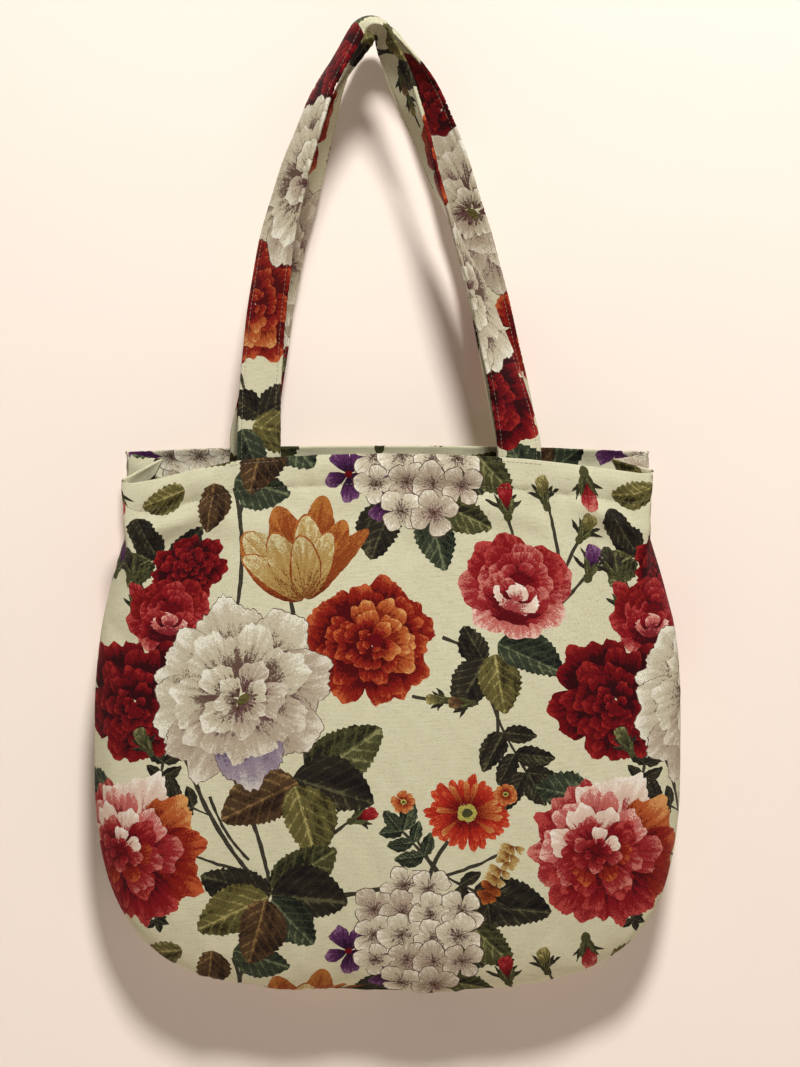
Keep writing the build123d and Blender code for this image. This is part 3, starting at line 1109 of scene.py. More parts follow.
@dataclass(frozen=True)
class Relief:
    """Heights, places and lengths of the hanging cloth's creases, in millimetres."""

    strap_clear: float = 17.0
    strap_fade: float = 16.0
    seam_depth: float = 0.9
    seam_width: float = 1.9
    groove_depth: float = 2.8
    groove_width: float = 7.5
    groove_vary: float = 0.25
    groove_wave: float = 29.0
    roll_depth: float = 2.0
    roll_height: float = 10.0
    pucker: float = 0.75
    pucker_wave: float = 1.9
    pucker_sway: float = 1.6
    pucker_sway_wave: float = 17.0
    pucker_swell_wave: float = 31.0
    pucker_reach: float = 8.0
    hem_stand: float = 0.6
    hem_start: float = 5.0
    hem_end: float = 6.0
    tab_stand: float = 0.7
    tab_half: float = 19.0
    tab_fade: float = 5.0
    tab_past: float = 2.0
    drag_depth: float = 2.2
    drag_place: float = 100.0
    drag_half: float = 26.0
    drag_reach: float = 90.0
    drag_start: float = 18.0
    drag_fade: float = 30.0
    swag: float = 0.95
    swag_count: int = 7
    swag_waves: Pair = (75.0, 170.0)
    swag_turn: float = 0.5
    swag_start: float = 12.0
    swag_fade: float = 60.0
    gather: float = 1.5
    gather_wave: float = 44.0
    gather_sway: float = 1.3
    gather_sway_wave: float = 37.0
    gather_drop: float = 40.0
    gather_half: float = 26.0
    gather_clear: float = 20.0
    gather_fade: float = 60.0
    ripple: float = 0.1
    ripple_count: int = 9
    ripple_waves: Pair = (14.0, 32.0)
    ripple_turn: float = 1.5
    fold_end: float = 0.15
    taut: float = 0.85
    taut_half: float = 15.0
    taut_until: float = 100.0
    taut_fade: float = 30.0
    edge_fade: float = 16.0
    edge_depth: float = 0.9
    edge_half: float = 2.2
    edge_start: float = 10.0


# Longer folds of each panel as start, end, half width and height. The corners' folds are alike.
CORNER_FOLDS = (((-150, 395), (-110, 360), 12.0, 2.0), ((150, 395), (112, 362), 12.0, 2.0))
FOLDS: dict[Side, tuple[tuple[Pair, Pair, float, float], ...]] = {
    Side.FRONT: (
        ((-206, 44), (-124, 32), 7.0, 4.6),
        ((-206, 64), (-140, 54), 10.0, -3.6),
        ((142, 28), (206, 52), 7.0, 4.8),
        ((150, 50), (204, 76), 11.0, -3.8),
        ((-128, 40), (-50, 62), 11.0, 2.8),
        ((52, 34), (120, 46), 9.0, 2.6),
        ((-30, 36), (20, 76), 13.0, -2.0),
        ((-205, 120), (-160, 150), 12.0, -2.2),
        ((208, 130), (170, 165), 12.0, -2.2),
        ((-190, 330), (-120, 300), 14.0, -1.6),
        ((196, 330), (130, 290), 14.0, -1.6),
        *CORNER_FOLDS,
    ),
    Side.BACK: (
        ((-196, 34), (-130, 50), 7.0, 3.0),
        ((140, 30), (200, 48), 7.0, 3.2),
        ((-60, 40), (-20, 120), 14.0, 1.8),
        ((60, 36), (100, 90), 12.0, -1.8),
        ((-205, 130), (-160, 160), 12.0, -2.2),
        ((208, 120), (170, 155), 12.0, -2.2),
        *CORNER_FOLDS,
    ),
}


@dataclass
class Panel:
    """One cut of cloth: a face, half of each side, half of the boxed bottom and the turned hem."""

    form: BodyForm
    side: Side
    pattern_shift: Pair
    left_dip: float = 0.0
    dip_start: float = 0.42
    dip_rise: float = 0.4
    dip_side: float = 0.15
    dip_fade: float = 110.0
    relief: Relief = Relief()
    seed: int = 5
    columns: int = 241
    levels: int = 420
    level_ease: float = 1.8
    over_rim: Pair = (-12.0, -6.0)
    rim_rows: int = 11
    rim_margin: float = 0.2
    lattice: float = 5.0
    outline_step: float = 3.0
    corner: float = 36.0
    corner_steps: int = 46
    corner_ease: float = 1.6
    bend_step: float = 3.2
    stitch_bends: tuple[float, ...] = (-5.5, -3.6, -2.2, -1.1, 0.0, 1.1, 2.2, 3.6, 5.5)
    rim_bends: tuple[float, ...] = (-2.6, -1.9, -1.2, -0.6, 0.0, 0.6, 1.2, 1.9, 2.8)
    seam_bends: tuple[float, ...] = (0.9, 1.9, 3.2, 5.0, 7.5)
    seam_bend_top: float = -20.0
    seam_bend_end: float = 30.0
    hem_stitch: float = 23.0
    inside_stitch: float = -22.2
    rim_stitch: float = 4.0
    stitch_inset: float = 3.0
    stitch_step: float = 0.8

    def __post_init__(self) -> None:
        """Works out the curved cloth and its flat cut's outline."""
        form = self.form
        share = np.linspace(0, 1, self.columns)
        drops = form.height * (1 - (1 - np.linspace(0, 1, self.levels)) ** self.level_ease)
        drops = np.concatenate([self.over_rim, drops])
        sections = [form.section(drop, share) for drop in drops]
        across, depth = (np.array([run[:, axis] for run, _ in sections]) for axis in (0, 1))
        half = np.array([length for _, length in sections])
        mouth = int(np.argmin(np.abs(drops)))
        lift = form.rim_lift(across[mouth], self.side.value * depth[mouth])
        fine = np.linspace(0, 1, 3000)
        fall = lift[0] + (form.height - lift[0]) * (1 - (1 - fine) ** 3)
        crown = np.interp(fall, drops, depth[:, 0])
        walk = np.concatenate([[0], np.cumsum(np.hypot(np.diff(fall), np.diff(crown)))])
        self.length = float(walk[-1])
        steps = np.arange(1.0, self.length - 8, 1.0)
        self.rows = np.concatenate([[0, 0.5], steps, np.linspace(self.length - 7.5, self.length, 24)])
        centre = np.interp(self.rows, walk, fall)
        self.half = np.interp(centre, drops, half)
        scale = (form.height - lift) / (form.height - lift[0])
        drop = lift[None, :] + (centre[:, None] - lift[0]) * scale[None, :]
        place = np.interp(drop, drops, np.arange(len(drops)))
        low = np.minimum(place.astype(int), len(drops) - 2)
        every = np.arange(self.columns)[None, :]
        right_x, right_y = (mix(t[low, every], t[low + 1, every], place - low) for t in (across, depth))
        wide = np.concatenate([-right_x[:, :0:-1], right_x], axis=1) + form.shift
        deep = np.concatenate([right_y[:, :0:-1], right_y], axis=1) * self.side.value
        high = np.concatenate([drop[:, :0:-1], drop], axis=1)
        self.shares = np.linspace(-1, 1, 2 * self.columns - 1)
        dip = self.left_dip * smooth((-self.shares - self.dip_start) / self.dip_rise)
        dip = dip * smooth((1 + self.shares) / self.dip_side)
        high = high + dip[None, :] * smooth(1 - self.rows / self.dip_fade)[:, None]
        points = np.stack([wide, deep, -form.rim_drop - high], axis=2)
        self.hang(ClothTable(self.shares, self.rows, points, self.side.value))

    def hang(self, plain: ClothTable) -> None:
        """Gives the cloth its creases and turns its hem in.

        Args:
            plain: The smooth cloth from the rim down.
        """
        across = self.shares[None, :] * self.half[:, None]
        down = np.repeat(self.rows[:, None], len(self.shares), axis=1)
        points = plain.points + plain.normals * self.creases(across, down)[:, :, None]
        outer = ClothTable(self.shares, self.rows, points, self.side.value)
        radius = self.form.cloth
        turn = math.pi / 2 * radius
        inside = np.arange(-self.form.hem_depth, -turn - self.rim_margin, 1.0)
        arc = np.linspace(-turn, turn, self.rim_rows)
        face = self.rows[self.rows > turn + self.rim_margin]

        def read(row: float) -> tuple[Array, Array]:
            """Points and normals of the cloth along one row."""
            return outer.read(self.shares, np.full(len(self.shares), row))

        seat, normal = read(radius)
        upward = unit(read(0.0)[0] - read(3 * radius)[0])
        tables = []
        for row in inside:
            back, out = read(-row - turn + radius)
            tables.append(back - out * 2 * radius)
        for angle in arc / radius:
            tables.append(seat + (normal * (math.sin(angle) - 1) + upward * math.cos(angle)) * radius)
        for row in face:
            tables.append(read(max(row - turn + radius, radius))[0])
        rows = np.concatenate([inside, arc, face])
        self.table = ClothTable(self.shares, rows, np.array(tables), self.side.value)

    def hem_creases(self, across: Array, down: Array) -> Array:
        """How far the hem stands out: its groove, puckers and roll, and what the straps do to it.

        Args:
            across: Places across the flat cut.
            down: Places down from the rim.

        Returns:
            Distances along the normal in millimetres.
        """
        relief, strap = self.relief, self.form.strap_spacing / 2
        stitch = down - self.hem_stitch
        free = np.ones_like(across)
        for hand in HANDS:
            free = free * smooth((np.abs(across - hand * strap) - relief.strap_clear) / relief.strap_fade)
        groove = 1 - relief.groove_vary + relief.groove_vary * np.sin(across / relief.groove_wave + 1.0)
        lift = -relief.seam_depth * bell(stitch, relief.seam_width)
        lift = lift - relief.groove_depth * free * groove * bell(stitch, relief.groove_width)
        lift = lift - relief.roll_depth * free * smooth((relief.roll_height - down) / relief.roll_height)
        sway = relief.pucker_sway * np.sin(across / relief.pucker_sway_wave)
        swell = np.sin(across / relief.pucker_swell_wave + 1.0)
        pucker = np.sin(across / relief.pucker_wave + sway) * swell
        lift = lift + relief.pucker * pucker * np.exp(-np.abs(stitch) / relief.pucker_reach)
        stand = smooth(down / relief.hem_start) * smooth(-stitch / relief.hem_end)
        lift = lift + relief.hem_stand * stand
        for hand in HANDS:
            tab = smooth((relief.tab_half - np.abs(across - hand * strap)) / relief.tab_fade)
            lift = lift + relief.tab_stand * tab * smooth((relief.tab_past - stitch) / relief.hem_end)
            pull = bell(across - hand * relief.drag_place, relief.drag_half)
            pull = pull * np.exp(-down / relief.drag_reach)
            lift = lift - relief.drag_depth * pull * smooth((down - relief.drag_start) / relief.drag_fade)
        return lift

    def creases(self, across: Array, down: Array) -> Array:
        """How far the hanging cloth stands out from its smooth form.

        Args:
            across: Places across the flat cut.
            down: Places down from the rim.

        Returns:
            Distances along the normal in millimetres.
        """
        relief = self.relief
        chance = np.random.default_rng(self.seed + self.side.value)

        def waves(count: int, lengths: Pair, turn: float) -> Array:
            """Sum of waves, each with its own length, way and phase.

            Args:
                count: How many waves.
                lengths: Shortest and longest wave.
                turn: How far their ways may turn.

            Returns:
                The sum at each point.
            """
            total = np.zeros_like(across)
            for _ in range(count):
                wave, way = chance.uniform(*lengths), chance.uniform(-turn, turn)
                phase = chance.uniform(0, 2 * math.pi)
                run = across * math.cos(way) + down * math.sin(way)
                total += np.sin(run * 2 * math.pi / wave + phase)
            return total

        lift = self.hem_creases(across, down)
        swags = waves(relief.swag_count, relief.swag_waves, relief.swag_turn)
        lift = lift + relief.swag * swags * smooth((down - relief.swag_start) / relief.swag_fade)
        sway = relief.gather_sway * np.sin(across / relief.gather_sway_wave)
        gathered = np.sin(across * 2 * math.pi / relief.gather_wave + sway)
        gathered = relief.gather * gathered * bell(down - relief.gather_drop, relief.gather_half)
        lift = lift + gathered * smooth((np.abs(across) - relief.gather_clear) / relief.gather_fade)
        lift = lift + relief.ripple * waves(relief.ripple_count, relief.ripple_waves, relief.ripple_turn)
        for start, end, width, height in FOLDS[self.side]:
            run = np.array(end) - np.array(start)
            length = float(np.linalg.norm(run))
            way = run / length
            along = ((across - start[0]) * way[0] + (down - start[1]) * way[1]) / length
            aside = (across - start[0]) * -way[1] + (down - start[1]) * way[0]
            ends = [smooth((gone + relief.fold_end) / (2 * relief.fold_end)) for gone in (along, 1 - along)]
            lift = lift + height * bell(aside, width) * (ends[0] * ends[1])
        edge = self.half[:, None] - np.abs(across)
        fold = self.form.level(np.maximum(down, 0.0))[1]
        taut = bell(np.abs(across) - fold, relief.taut_half)
        taut = taut * smooth((relief.taut_until - down) / relief.taut_fade)
        lift = lift * smooth(edge / relief.edge_fade) * (1 - relief.taut * taut)
        return lift - relief.edge_depth * bell(edge, relief.edge_half) * smooth(down / relief.edge_start)

    def outline(self) -> Array:
        """Outline of the flat cut, from the hem's raw edge to the bottom seam.

        Returns:
            Its points in order.
        """
        hem, wide, step = -self.form.hem_depth, self.half[0], self.outline_step
        edge = [(u, hem) for u in np.arange(-wide, wide, step)]
        ease = (1 - np.linspace(0, 1, self.corner_steps)) ** self.corner_ease
        straight = np.arange(0, self.length - self.corner, step)
        rows = np.concatenate([np.arange(hem, 0, step), straight, self.length - self.corner * ease])
        right = [(self.half_at(v), v) for v in rows]
        left = [(-u, v) for u, v in reversed(right[1:-1])]
        return np.array(edge + right + left)

    def half_at(self, down: float) -> float:
        """Half width of the flat cut at a place down from the rim."""
        return float(np.interp(down, self.rows, self.half))

    def place(self, flat: Array) -> tuple[Array, Array]:
        """Points and normals of the hanging cloth at places in its flat cut.

        Args:
            flat: Places across and down.

        Returns:
            The points in millimetres and the unit normals.
        """
        half = np.interp(flat[:, 1], self.rows, self.half)
        share = np.clip(flat[:, 0] / np.maximum(half, 1e-3), -1, 1)
        return self.table.read(share, flat[:, 1])

    def build(self, name: str, repeat: FloralRepeat) -> tuple[bpy.types.Object, FlatCut]:
        """Makes the panel's mesh.

        Args:
            name: Name of the piece.
            repeat: The woven pattern that the panel is cut from.

        Returns:
            The panel and its flat cut.
        """
        outline = self.outline()
        low, high = outline.min(axis=0), outline.max(axis=0)
        shapes = repeat.cut(tuple(low), tuple(high), self.pattern_shift)
        cut = FlatCut(outline, shapes, self.lattice, self.bends())
        return cloth_mesh(name, cut, self.place, self.form.cloth), cut

    def bends(self) -> Array:
        """Points along the rim, the hem stitch and the seams, where the cloth bends sharply.

        Returns:
            The points.
        """
        rows = [self.hem_stitch + off for off in self.stitch_bends]
        found = []
        for number, down in enumerate([*rows, *self.rim_bends]):
            wide, stagger = self.half_at(down) - 1.0, self.bend_step / 2
            across = np.arange(-wide, wide - stagger, self.bend_step) + stagger * (number % 2)
            found.append(level_line(across, down))
        step = self.outline_step
        for number, inset in enumerate(self.seam_bends):
            down = np.arange(self.seam_bend_top, self.length - self.seam_bend_end, step)
            down = down + step / 2 * (number % 2)
            wide = np.interp(down, self.rows, self.half) - inset
            found += [np.stack([hand * wide, down], axis=1) for hand in HANDS]
        return np.vstack(found)

    def stitch_lines(self) -> list[tuple[Array, Array]]:
        """Sewn lines of the hem, on its face and on its inside, and of the rim over the straps.

        Returns:
            Points in millimetres and normals along each line.
        """
        wide, tab = self.half[0] - self.stitch_inset, self.relief.tab_half
        hem, rim = np.arange(-wide, wide, self.stitch_step), np.arange(-tab, tab, self.stitch_step)
        lines = [level_line(hem, down) for down in (self.hem_stitch, self.inside_stitch)]
        lines += [level_line(rim + hand * self.form.strap_spacing / 2, self.rim_stitch) for hand in HANDS]
        return [self.place(line) for line in lines]


def bag_panels(form: BodyForm) -> tuple[Panel, Panel]:
    """The two panels, cut from different places of the pattern."""
    return Panel(form, Side.FRONT, (0.0, 0.0), left_dip=7.0), Panel(form, Side.BACK, (152.0, 8.0))


def cloth_mesh(
    name: str,
    cut: FlatCut,
    place: Callable[[Array], tuple[Array, Array]],
    thickness: float,
    weld: Array | None = None,
    columns: int = 1,
) -> bpy.types.Object:
    """Makes a cloth with a face, a reverse and edges from its flat cut.

    Args:
        name: Name of the piece.
        cut: The flat cut.
        place: Gives points and normals for places in the flat cut.
        thickness: Thickness of the cloth, or 0 for a closed skin with no reverse.
        weld: For a closed skin, the point that each point of the cut is joined to.
        columns: Into how many columns a long cut is divided where its colours are laid out.

    Returns:
        The new object, with the attributes that its finish reads.
    """
    points, normals = place(cut.points)
    faces = cut.triangles
    a, b, c = (points[faces[:, corner]] for corner in range(3))
    facing = np.einsum("ij,ij->i", np.cross(b - a, c - a), normals[faces[:, 0]])
    if np.median(facing) < 0:
        faces = faces[:, ::-1]
    count = len(points)
    top = cut.top
    vertices, ways = points, normals
    slots = np.zeros(len(faces), int)
    if thickness:
        rims = cut.boundary()
        ends = rims[:, :2] if np.median(facing) >= 0 else rims[:, 1::-1]
        vertices = np.vstack([points, points - normals * thickness])
        ways = np.vstack([normals, -normals])
        walls = np.column_stack([ends[:, 1], ends[:, 0], ends[:, 0] + count, ends[:, 1] + count])
        quads = np.vstack([walls[:, [0, 1, 2]], walls[:, [0, 2, 3]]])
        slots = np.concatenate([slots, np.ones(len(faces), int), np.zeros(len(quads), int)])
        faces = np.vstack([faces, faces[:, ::-1] + count, quads])
        top = np.concatenate([top, top, cut.top[rims[:, 2]], cut.top[rims[:, 2]]])
    joined = faces
    if weld is not None:
        kept, joined = np.unique(weld[faces], return_inverse=True)
        joined = joined.reshape(-1, 3)
        vertices, ways = vertices[kept], ways[kept]
    mesh = bpy.data.meshes.new(name)
    mesh.from_pydata((vertices * MM).tolist(), [], joined.tolist())
    mesh.update()
    flat = np.vstack([cut.points, cut.points]) if thickness else cut.points
    write_attributes(mesh, cut, flat, faces, top, slots, columns)
    mesh.polygons.foreach_set("material_index", slots.astype(np.int32))
    mesh.normals_split_custom_set_from_vertices(ways.tolist())
    return add_object(name, mesh)


def write_attributes(
    mesh: bpy.types.Mesh,
    cut: FlatCut,
    flat: Array,
    faces: Array,
    top: Array,
    slots: Array,
    columns: int,
) -> None:
    """Writes the flat places and each face's patch of yarn to a mesh.

    Args:
        mesh: The mesh.
        cut: The flat cut that it was made from.
        flat: Flat place of every vertex.
        faces: Corners of every face.
        top: Number of the patch that shows on every face.
        slots: 1 for faces of the reverse.
        columns: Into how many columns the cut is divided in the layout of its colours.
    """
    corners = flat[faces.ravel()]
    cloth = mesh.uv_layers.new(name=CLOTH_LAYER)
    cloth.data.foreach_set("uv", corners.astype(np.float32).ravel())
    low, high = flat.min(axis=0), flat.max(axis=0)
    tall = (high - low)[1] / columns
    middle = flat[faces].mean(axis=1)[:, 1]
    column = np.repeat(np.clip(((middle - low[1]) / tall).astype(int), 0, columns - 1), 3)
    apart = np.array([(high - low)[0] * BAKE_COLUMN, -tall])
    spread = corners - low + column[:, None] * apart
    square = (spread - spread.min(axis=0)) / float((spread.max(axis=0) - spread.min(axis=0)).max())
    behind = np.repeat(slots, 3)[:, None]
    face, reverse = BAKE_FACE if slots.any() else BAKE_ALONE, BAKE_REVERSE
    sheet = mesh.uv_layers.new(name=BAKE_LAYER)
    laid = np.where(behind == 1, square * reverse[0] + reverse[1:], square * face[0] + face[1:])
    sheet.data.foreach_set("uv", laid.astype(np.float32).ravel())
    mesh.uv_layers.active = cloth
    cloth.active_render = True
    shapes = cut.shapes
    roots = np.array([[*shape.root, shape.angle] for shape in shapes])
    forms = np.array([[shape.length, shape.spread, shape.shade] for shape in shapes])
    kinds = np.array([shape.kind.value for shape in shapes], float)
    inks = np.array([shape.yarn.value.linear() for shape in shapes])
    for name, values in (("motif_root", roots), ("motif_form", forms)):
        layer = mesh.attributes.new(name, "FLOAT_VECTOR", "FACE")
        layer.data.foreach_set("vector", values[top].astype(np.float32).ravel())
    layer = mesh.attributes.new("motif_kind", "FLOAT", "FACE")
    layer.data.foreach_set("value", kinds[top].astype(np.float32))
    for order, name in enumerate(INK_LAYERS):
        layer = mesh.attributes.new(name, "FLOAT_COLOR", "FACE")
        layer.data.foreach_set("color", inks[top, order].astype(np.float32).ravel())


@dataclass(frozen=True)
class Leg:
    """How one leg of a handle runs from the hem to the peg.

    Leans are in degrees from upright, the peg's angle in degrees above level, pulls in
    millimetres, and a twist of 1 is a quarter turn.
    """

    base_lean: float
    base_pull: float
    peg_angle: float
    peg_pull: float
    twists: tuple[float, ...]


@dataclass
class Handle:
    """One handle: a strip folded to four layers that turns a quarter between the hem and the peg."""

    form: BodyForm
    side: Side
    pattern_shift: Pair
    lead: Leg
    trail: Leg
    left_slide: float
    width: float = 32.0
    thickness: float = 3.2
    seat_gap: float = 0.3
    end_margin: float = 2.0
    rise: float = 6.0
    peg_radius: float = 13.0
    gap: float = 2.0
    slide: float = 3.0
    droop: float = 7.0
    droop_length: float = 48.0
    pillow: float = 0.35
    slack: Pair = (0.5, 0.35)
    slack_waves: Pair = (21.0, 9.0)
    slack_end: float = 60.0
    leg_steps: int = 121
    tab_steps: int = 11
    peg_steps: int = 38
    route_step: float = 1.5
    twist_passes: int = 40
    width_passes: int = 16
    around_steps: int = 93
    end_steps: int = 24
    outline_step: float = 3.0
    lattice: float = 3.5
    bend_end: float = 2.0
    side_bends: tuple[float, ...] = (0.0, 0.9, 1.8, 2.8)
    seam_margin: float = 0.6
    least_area: float = 1.0
    cap_room: float = 6.0
    bake_columns: int = 3
    topstitch: float = 3.4
    topstitch_depth: float = 0.4
    topstitch_width: float = 1.0
    stitch_end: float = 4.0
    stitch_step: float = 0.9

    @property
    def perimeter(self) -> float:
        """Length round the section."""
        return 2 * (self.width - self.thickness) + math.pi * self.thickness

    @property
    def peg_centre(self) -> Array:
        """Middle of the bend over the peg."""
        side = self.side.value
        return np.array([side * self.slide, side * (self.width + self.gap) / 2, -self.peg_radius])

    def faces(self) -> list[Pair]:
        """Where the two flat faces start and end round the section."""
        quarter, flat = math.pi * self.thickness / 4, self.width - self.thickness
        return [(start, start + flat) for start in (quarter, 3 * quarter + flat)]

    def seat(self, across: float, height: float) -> Array:
        """Middle of the strap where it lies on the inside of the hem.

        Args:
            across: Place across the bag from the middle of the body.
            height: Height in the shared frame.

        Returns:
            The point in millimetres.
        """
        form = self.form
        _, fold, fold_depth, crown, _ = form.level(np.float64(-form.rim_drop - height))
        depth = crown - (crown - fold_depth) * (across / fold) ** 2
        depth -= 2 * form.cloth + self.seat_gap + self.thickness / 2
        return np.array([form.shift + across, self.side.value * float(depth), height])

    def leg(self, hand: int) -> tuple[Array, Array]:
        """One leg from its end in the hem to the peg.

        Args:
            hand: -1 for the left leg, 1 for the right one.

        Returns:
            Points of the strap's middle and the ways of its width.
        """
        form, leg = self.form, self.lead if hand == self.side.value else self.trail
        lean, tilt = math.radians(leg.base_lean), math.radians(leg.peg_angle)
        across = hand * form.strap_spacing / 2 + (self.left_slide if hand < 0 else 0.0)
        depth = self.side.value * form.mouth_depth / 2
        rim = -form.rim_drop - float(form.rim_lift(np.float64(across), np.float64(depth)))
        end = self.seat(across, rim - form.hem_depth + self.end_margin)
        start = self.seat(across, rim + self.rise)
        outward = np.array([hand * math.cos(tilt), 0.0, math.sin(tilt)])
        top = self.peg_centre + outward * (self.peg_radius + self.thickness / 2)
        base_way, top_way = (np.array([-hand * math.sin(a), 0.0, math.cos(a)]) for a in (lean, tilt))
        t = np.linspace(0, 1, self.leg_steps)[:, None]
        run = bezier(start, start + base_way * leg.base_pull, top - top_way * leg.peg_pull, top, t)
        way = unit(np.gradient(run, axis=0))
        level = unit(np.array([1.0, 0.0, 0.0]) - way * way[:, :1])
        share = np.interp(t[:, 0], np.linspace(0, 1, len(leg.twists)), leg.twists)
        share = evened(share, self.twist_passes)
        turn = (-hand * self.side.value * math.pi / 2 * share)[:, None]
        wide = level * np.cos(turn) + np.cross(way, level) * np.sin(turn)
        tab = np.linspace(0, 1, self.tab_steps + 1)[:-1, None]
        points = np.vstack([mix(end, start, tab), run])
        return points, np.vstack([np.repeat(wide[:1], len(tab), axis=0), wide])

    def route(self) -> tuple[Array, Array, Array]:
        """The whole strap from end to end.

        Returns:
            Lengths along the strap, points of its middle and ways of its width, by even steps.
        """
        lead = self.side.value
        up, up_wide = self.leg(lead)
        down, down_wide = self.leg(-lead)
        first, last = math.radians(self.lead.peg_angle), math.pi - math.radians(self.trail.peg_angle)
        turn = np.linspace(first, last, self.peg_steps + 2)[1:-1]
        radial = np.stack([lead * np.cos(turn), 0 * turn, np.sin(turn)], axis=1)
        bend = self.peg_centre + (self.peg_radius + self.thickness / 2) * radial
        tilts = (math.asin(-up_wide[-1] @ radial[0]), math.asin(down_wide[-1] @ radial[-1]))
        tilt = np.linspace(*tilts, len(turn))[:, None]
        level = np.array([0.0, math.copysign(1.0, up_wide[-1, 1]), 0.0])
        bend_wide = level * np.cos(tilt) - radial * np.sin(tilt)
        points = np.vstack([up, bend, down[::-1]])
        walk = run_lengths(points)
        even = np.append(np.arange(0, walk[-1], self.route_step), walk[-1])
        wide = read_along(even, walk, np.vstack([up_wide, bend_wide, -down_wide[::-1]]))
        return even, read_along(even, walk, points), unit(evened(wide, self.width_passes))

    def section(self, around: Array) -> tuple[Array, Array]:
        """The folded strip's section.

        Args:
            around: Places round the section, from the middle of one fold.

        Returns:
            Distances along the width and along the thickness.
        """
        radius, half = self.thickness / 2, self.width / 2
        flat, quarter = self.width - 2 * radius, math.pi * radius / 2
        stops = np.cumsum([0, quarter, flat, 2 * quarter, flat, quarter])
        turn = np.interp(around, stops, [0, 0.5, 0.5, 1.5, 1.5, 2.0]) * math.pi
        slide = np.interp(around, stops, np.array([-1, -1, 1, 1, -1, -1]) * flat / 2)
        aside = slide - np.cos(turn) * radius
        sewn = bell(np.abs(aside) - (half - self.topstitch), self.topstitch_width)
        pillow = self.pillow * (1 - (aside / half) ** 2) - self.topstitch_depth * sewn
        return aside, np.sin(turn) * radius + np.sin(turn) * pillow

    def shape_cloth(self) -> ClothTable:
        """The strap's curved skin as a table of places round and along it.

        Returns:
            The table.
        """
        even, points, wide = self.route()
        self.length = float(even[-1])
        around = np.linspace(0, self.perimeter, self.around_steps)
        aside, stand = self.section(around)
        out = np.cross(unit(np.gradient(points, axis=0)), wide)
        high = int(np.argmax(points[:, 2]))
        if out[high, 2] < 0:
            out = -out
        bent = bell(even - even[high], self.droop_length)
        curl = -self.droop * bent[:, None] * (aside / (self.width / 2))[None, :] ** 2
        broad, fine = (even / wave for wave in self.slack_waves)
        slack = self.slack[0] * np.sin(broad + self.side.value) + self.slack[1] * np.sin(fine)
        slack = slack * smooth(even / self.slack_end) * smooth((self.length - even) / self.slack_end)
        table = points[:, None, :] + wide[:, None, :] * aside[None, :, None]
        table = table + out[:, None, :] * (stand[None, :] + (curl + slack[:, None]))[:, :, None]
        turned = ClothTable(around, even, table, 1)
        outward = np.einsum("ijk,ijk->ij", turned.normals, table - table.mean(axis=1, keepdims=True))
        return turned if np.median(outward) >= 0 else ClothTable(around, even, table, -1)

    def build(self, name: str, repeat: FloralRepeat) -> bpy.types.Object:
        """Makes the handle's mesh.

        Args:
            name: Name of the piece.
            repeat: The woven pattern that the strip is cut from.

        Returns:
            The handle.
        """
        self.table = self.shape_cloth()
        around, length, step = self.perimeter, self.length, self.outline_step
        ends = np.linspace(0, around, self.end_steps)
        sides = np.arange(step, length - self.bend_end, step)
        outline = [(c, 0.0) for c in ends] + [(around, s) for s in sides]
        outline += [(c, length) for c in ends[::-1]] + [(0.0, s) for s in sides[::-1]]
        found = repeat.cut((0.0, 0.0), (around, length), self.pattern_shift, True)
        trimmed = [shape.trimmed(self.seam_margin, around - self.seam_margin) for shape in found]
        shapes = [shape for shape in trimmed if abs(shape.area()) > self.least_area]
        cut = FlatCut(np.array(outline), shapes, self.lattice, self.bends())
        weld = self.close(cut)
        return cloth_mesh(name, cut, self.place, 0, weld, self.bake_columns)

    def bends(self) -> Array:
        """Points along the strap's rounded edges and its topstitch.

        Returns:
            The points.
        """
        (_, end), _ = self.faces()
        stops = [0.6, end + 0.6, end + 1.9]
        for face in self.faces():
            stops += [edge + sign * off for edge, sign in zip(face, (1, -1)) for off in self.side_bends]
        step = self.outline_step
        along = np.arange(self.bend_end, self.length - self.bend_end, step)
        runs = []
        for number, stop in enumerate(stops):
            runs.append(np.stack([np.full(len(along), stop), along + step / 2 * (number % 2)], axis=1))
        return np.vstack(runs)

    def close(self, cut: FlatCut) -> Array:
        """Joins the skin along its seam and closes its two ends.

        Args:
            cut: The flat cut of the skin, which gets the ends' faces.

        Returns:
            The point that each point of the cut is joined to.
        """

        def on_line(axis: int, at: float) -> Array:
            """Points of the cut on a line across or along it, in order."""
            found = np.flatnonzero(np.abs(cut.points[:, axis] - at) < 1e-4)
            return found[np.argsort(cut.points[found, 1 - axis])]

        first, last = on_line(0, 0.0), on_line(0, self.perimeter)
        middles = [(self.perimeter / 2, at) for at in (-self.cap_room, self.length + self.cap_room)]
        for end, ring in enumerate((on_line(1, 0.0)[::-1], on_line(1, self.length))):
            centre = np.full(len(ring) - 1, len(cut.points) + end)
            cut.triangles = np.vstack([cut.triangles, np.column_stack([ring[:-1], ring[1:], centre])])
        cut.top = np.concatenate([cut.top, np.zeros(len(cut.triangles) - len(cut.top), int)])
        cut.points = np.vstack([cut.points, middles])
        weld = np.arange(len(cut.points))
        weld[last] = first
        return weld

    def place(self, flat: Array) -> tuple[Array, Array]:
        """Points and normals of the strap's skin at places in its flat cut.

        Args:
            flat: Places round and along, past the ends for the ends' middles.

        Returns:
            The points in millimetres and the unit normals.
        """
        points, normals = self.table.read(flat[:, 0], flat[:, 1])
        for past, row, sign in ((flat[:, 1] < -1.0, 0, -1), (flat[:, 1] > self.length + 1.0, -1, 1)):
            middle, before = (self.table.points[at].mean(axis=0) for at in (row, row - sign))
            points[past] = middle
            normals[past] = unit(middle - before)
        return points, normals

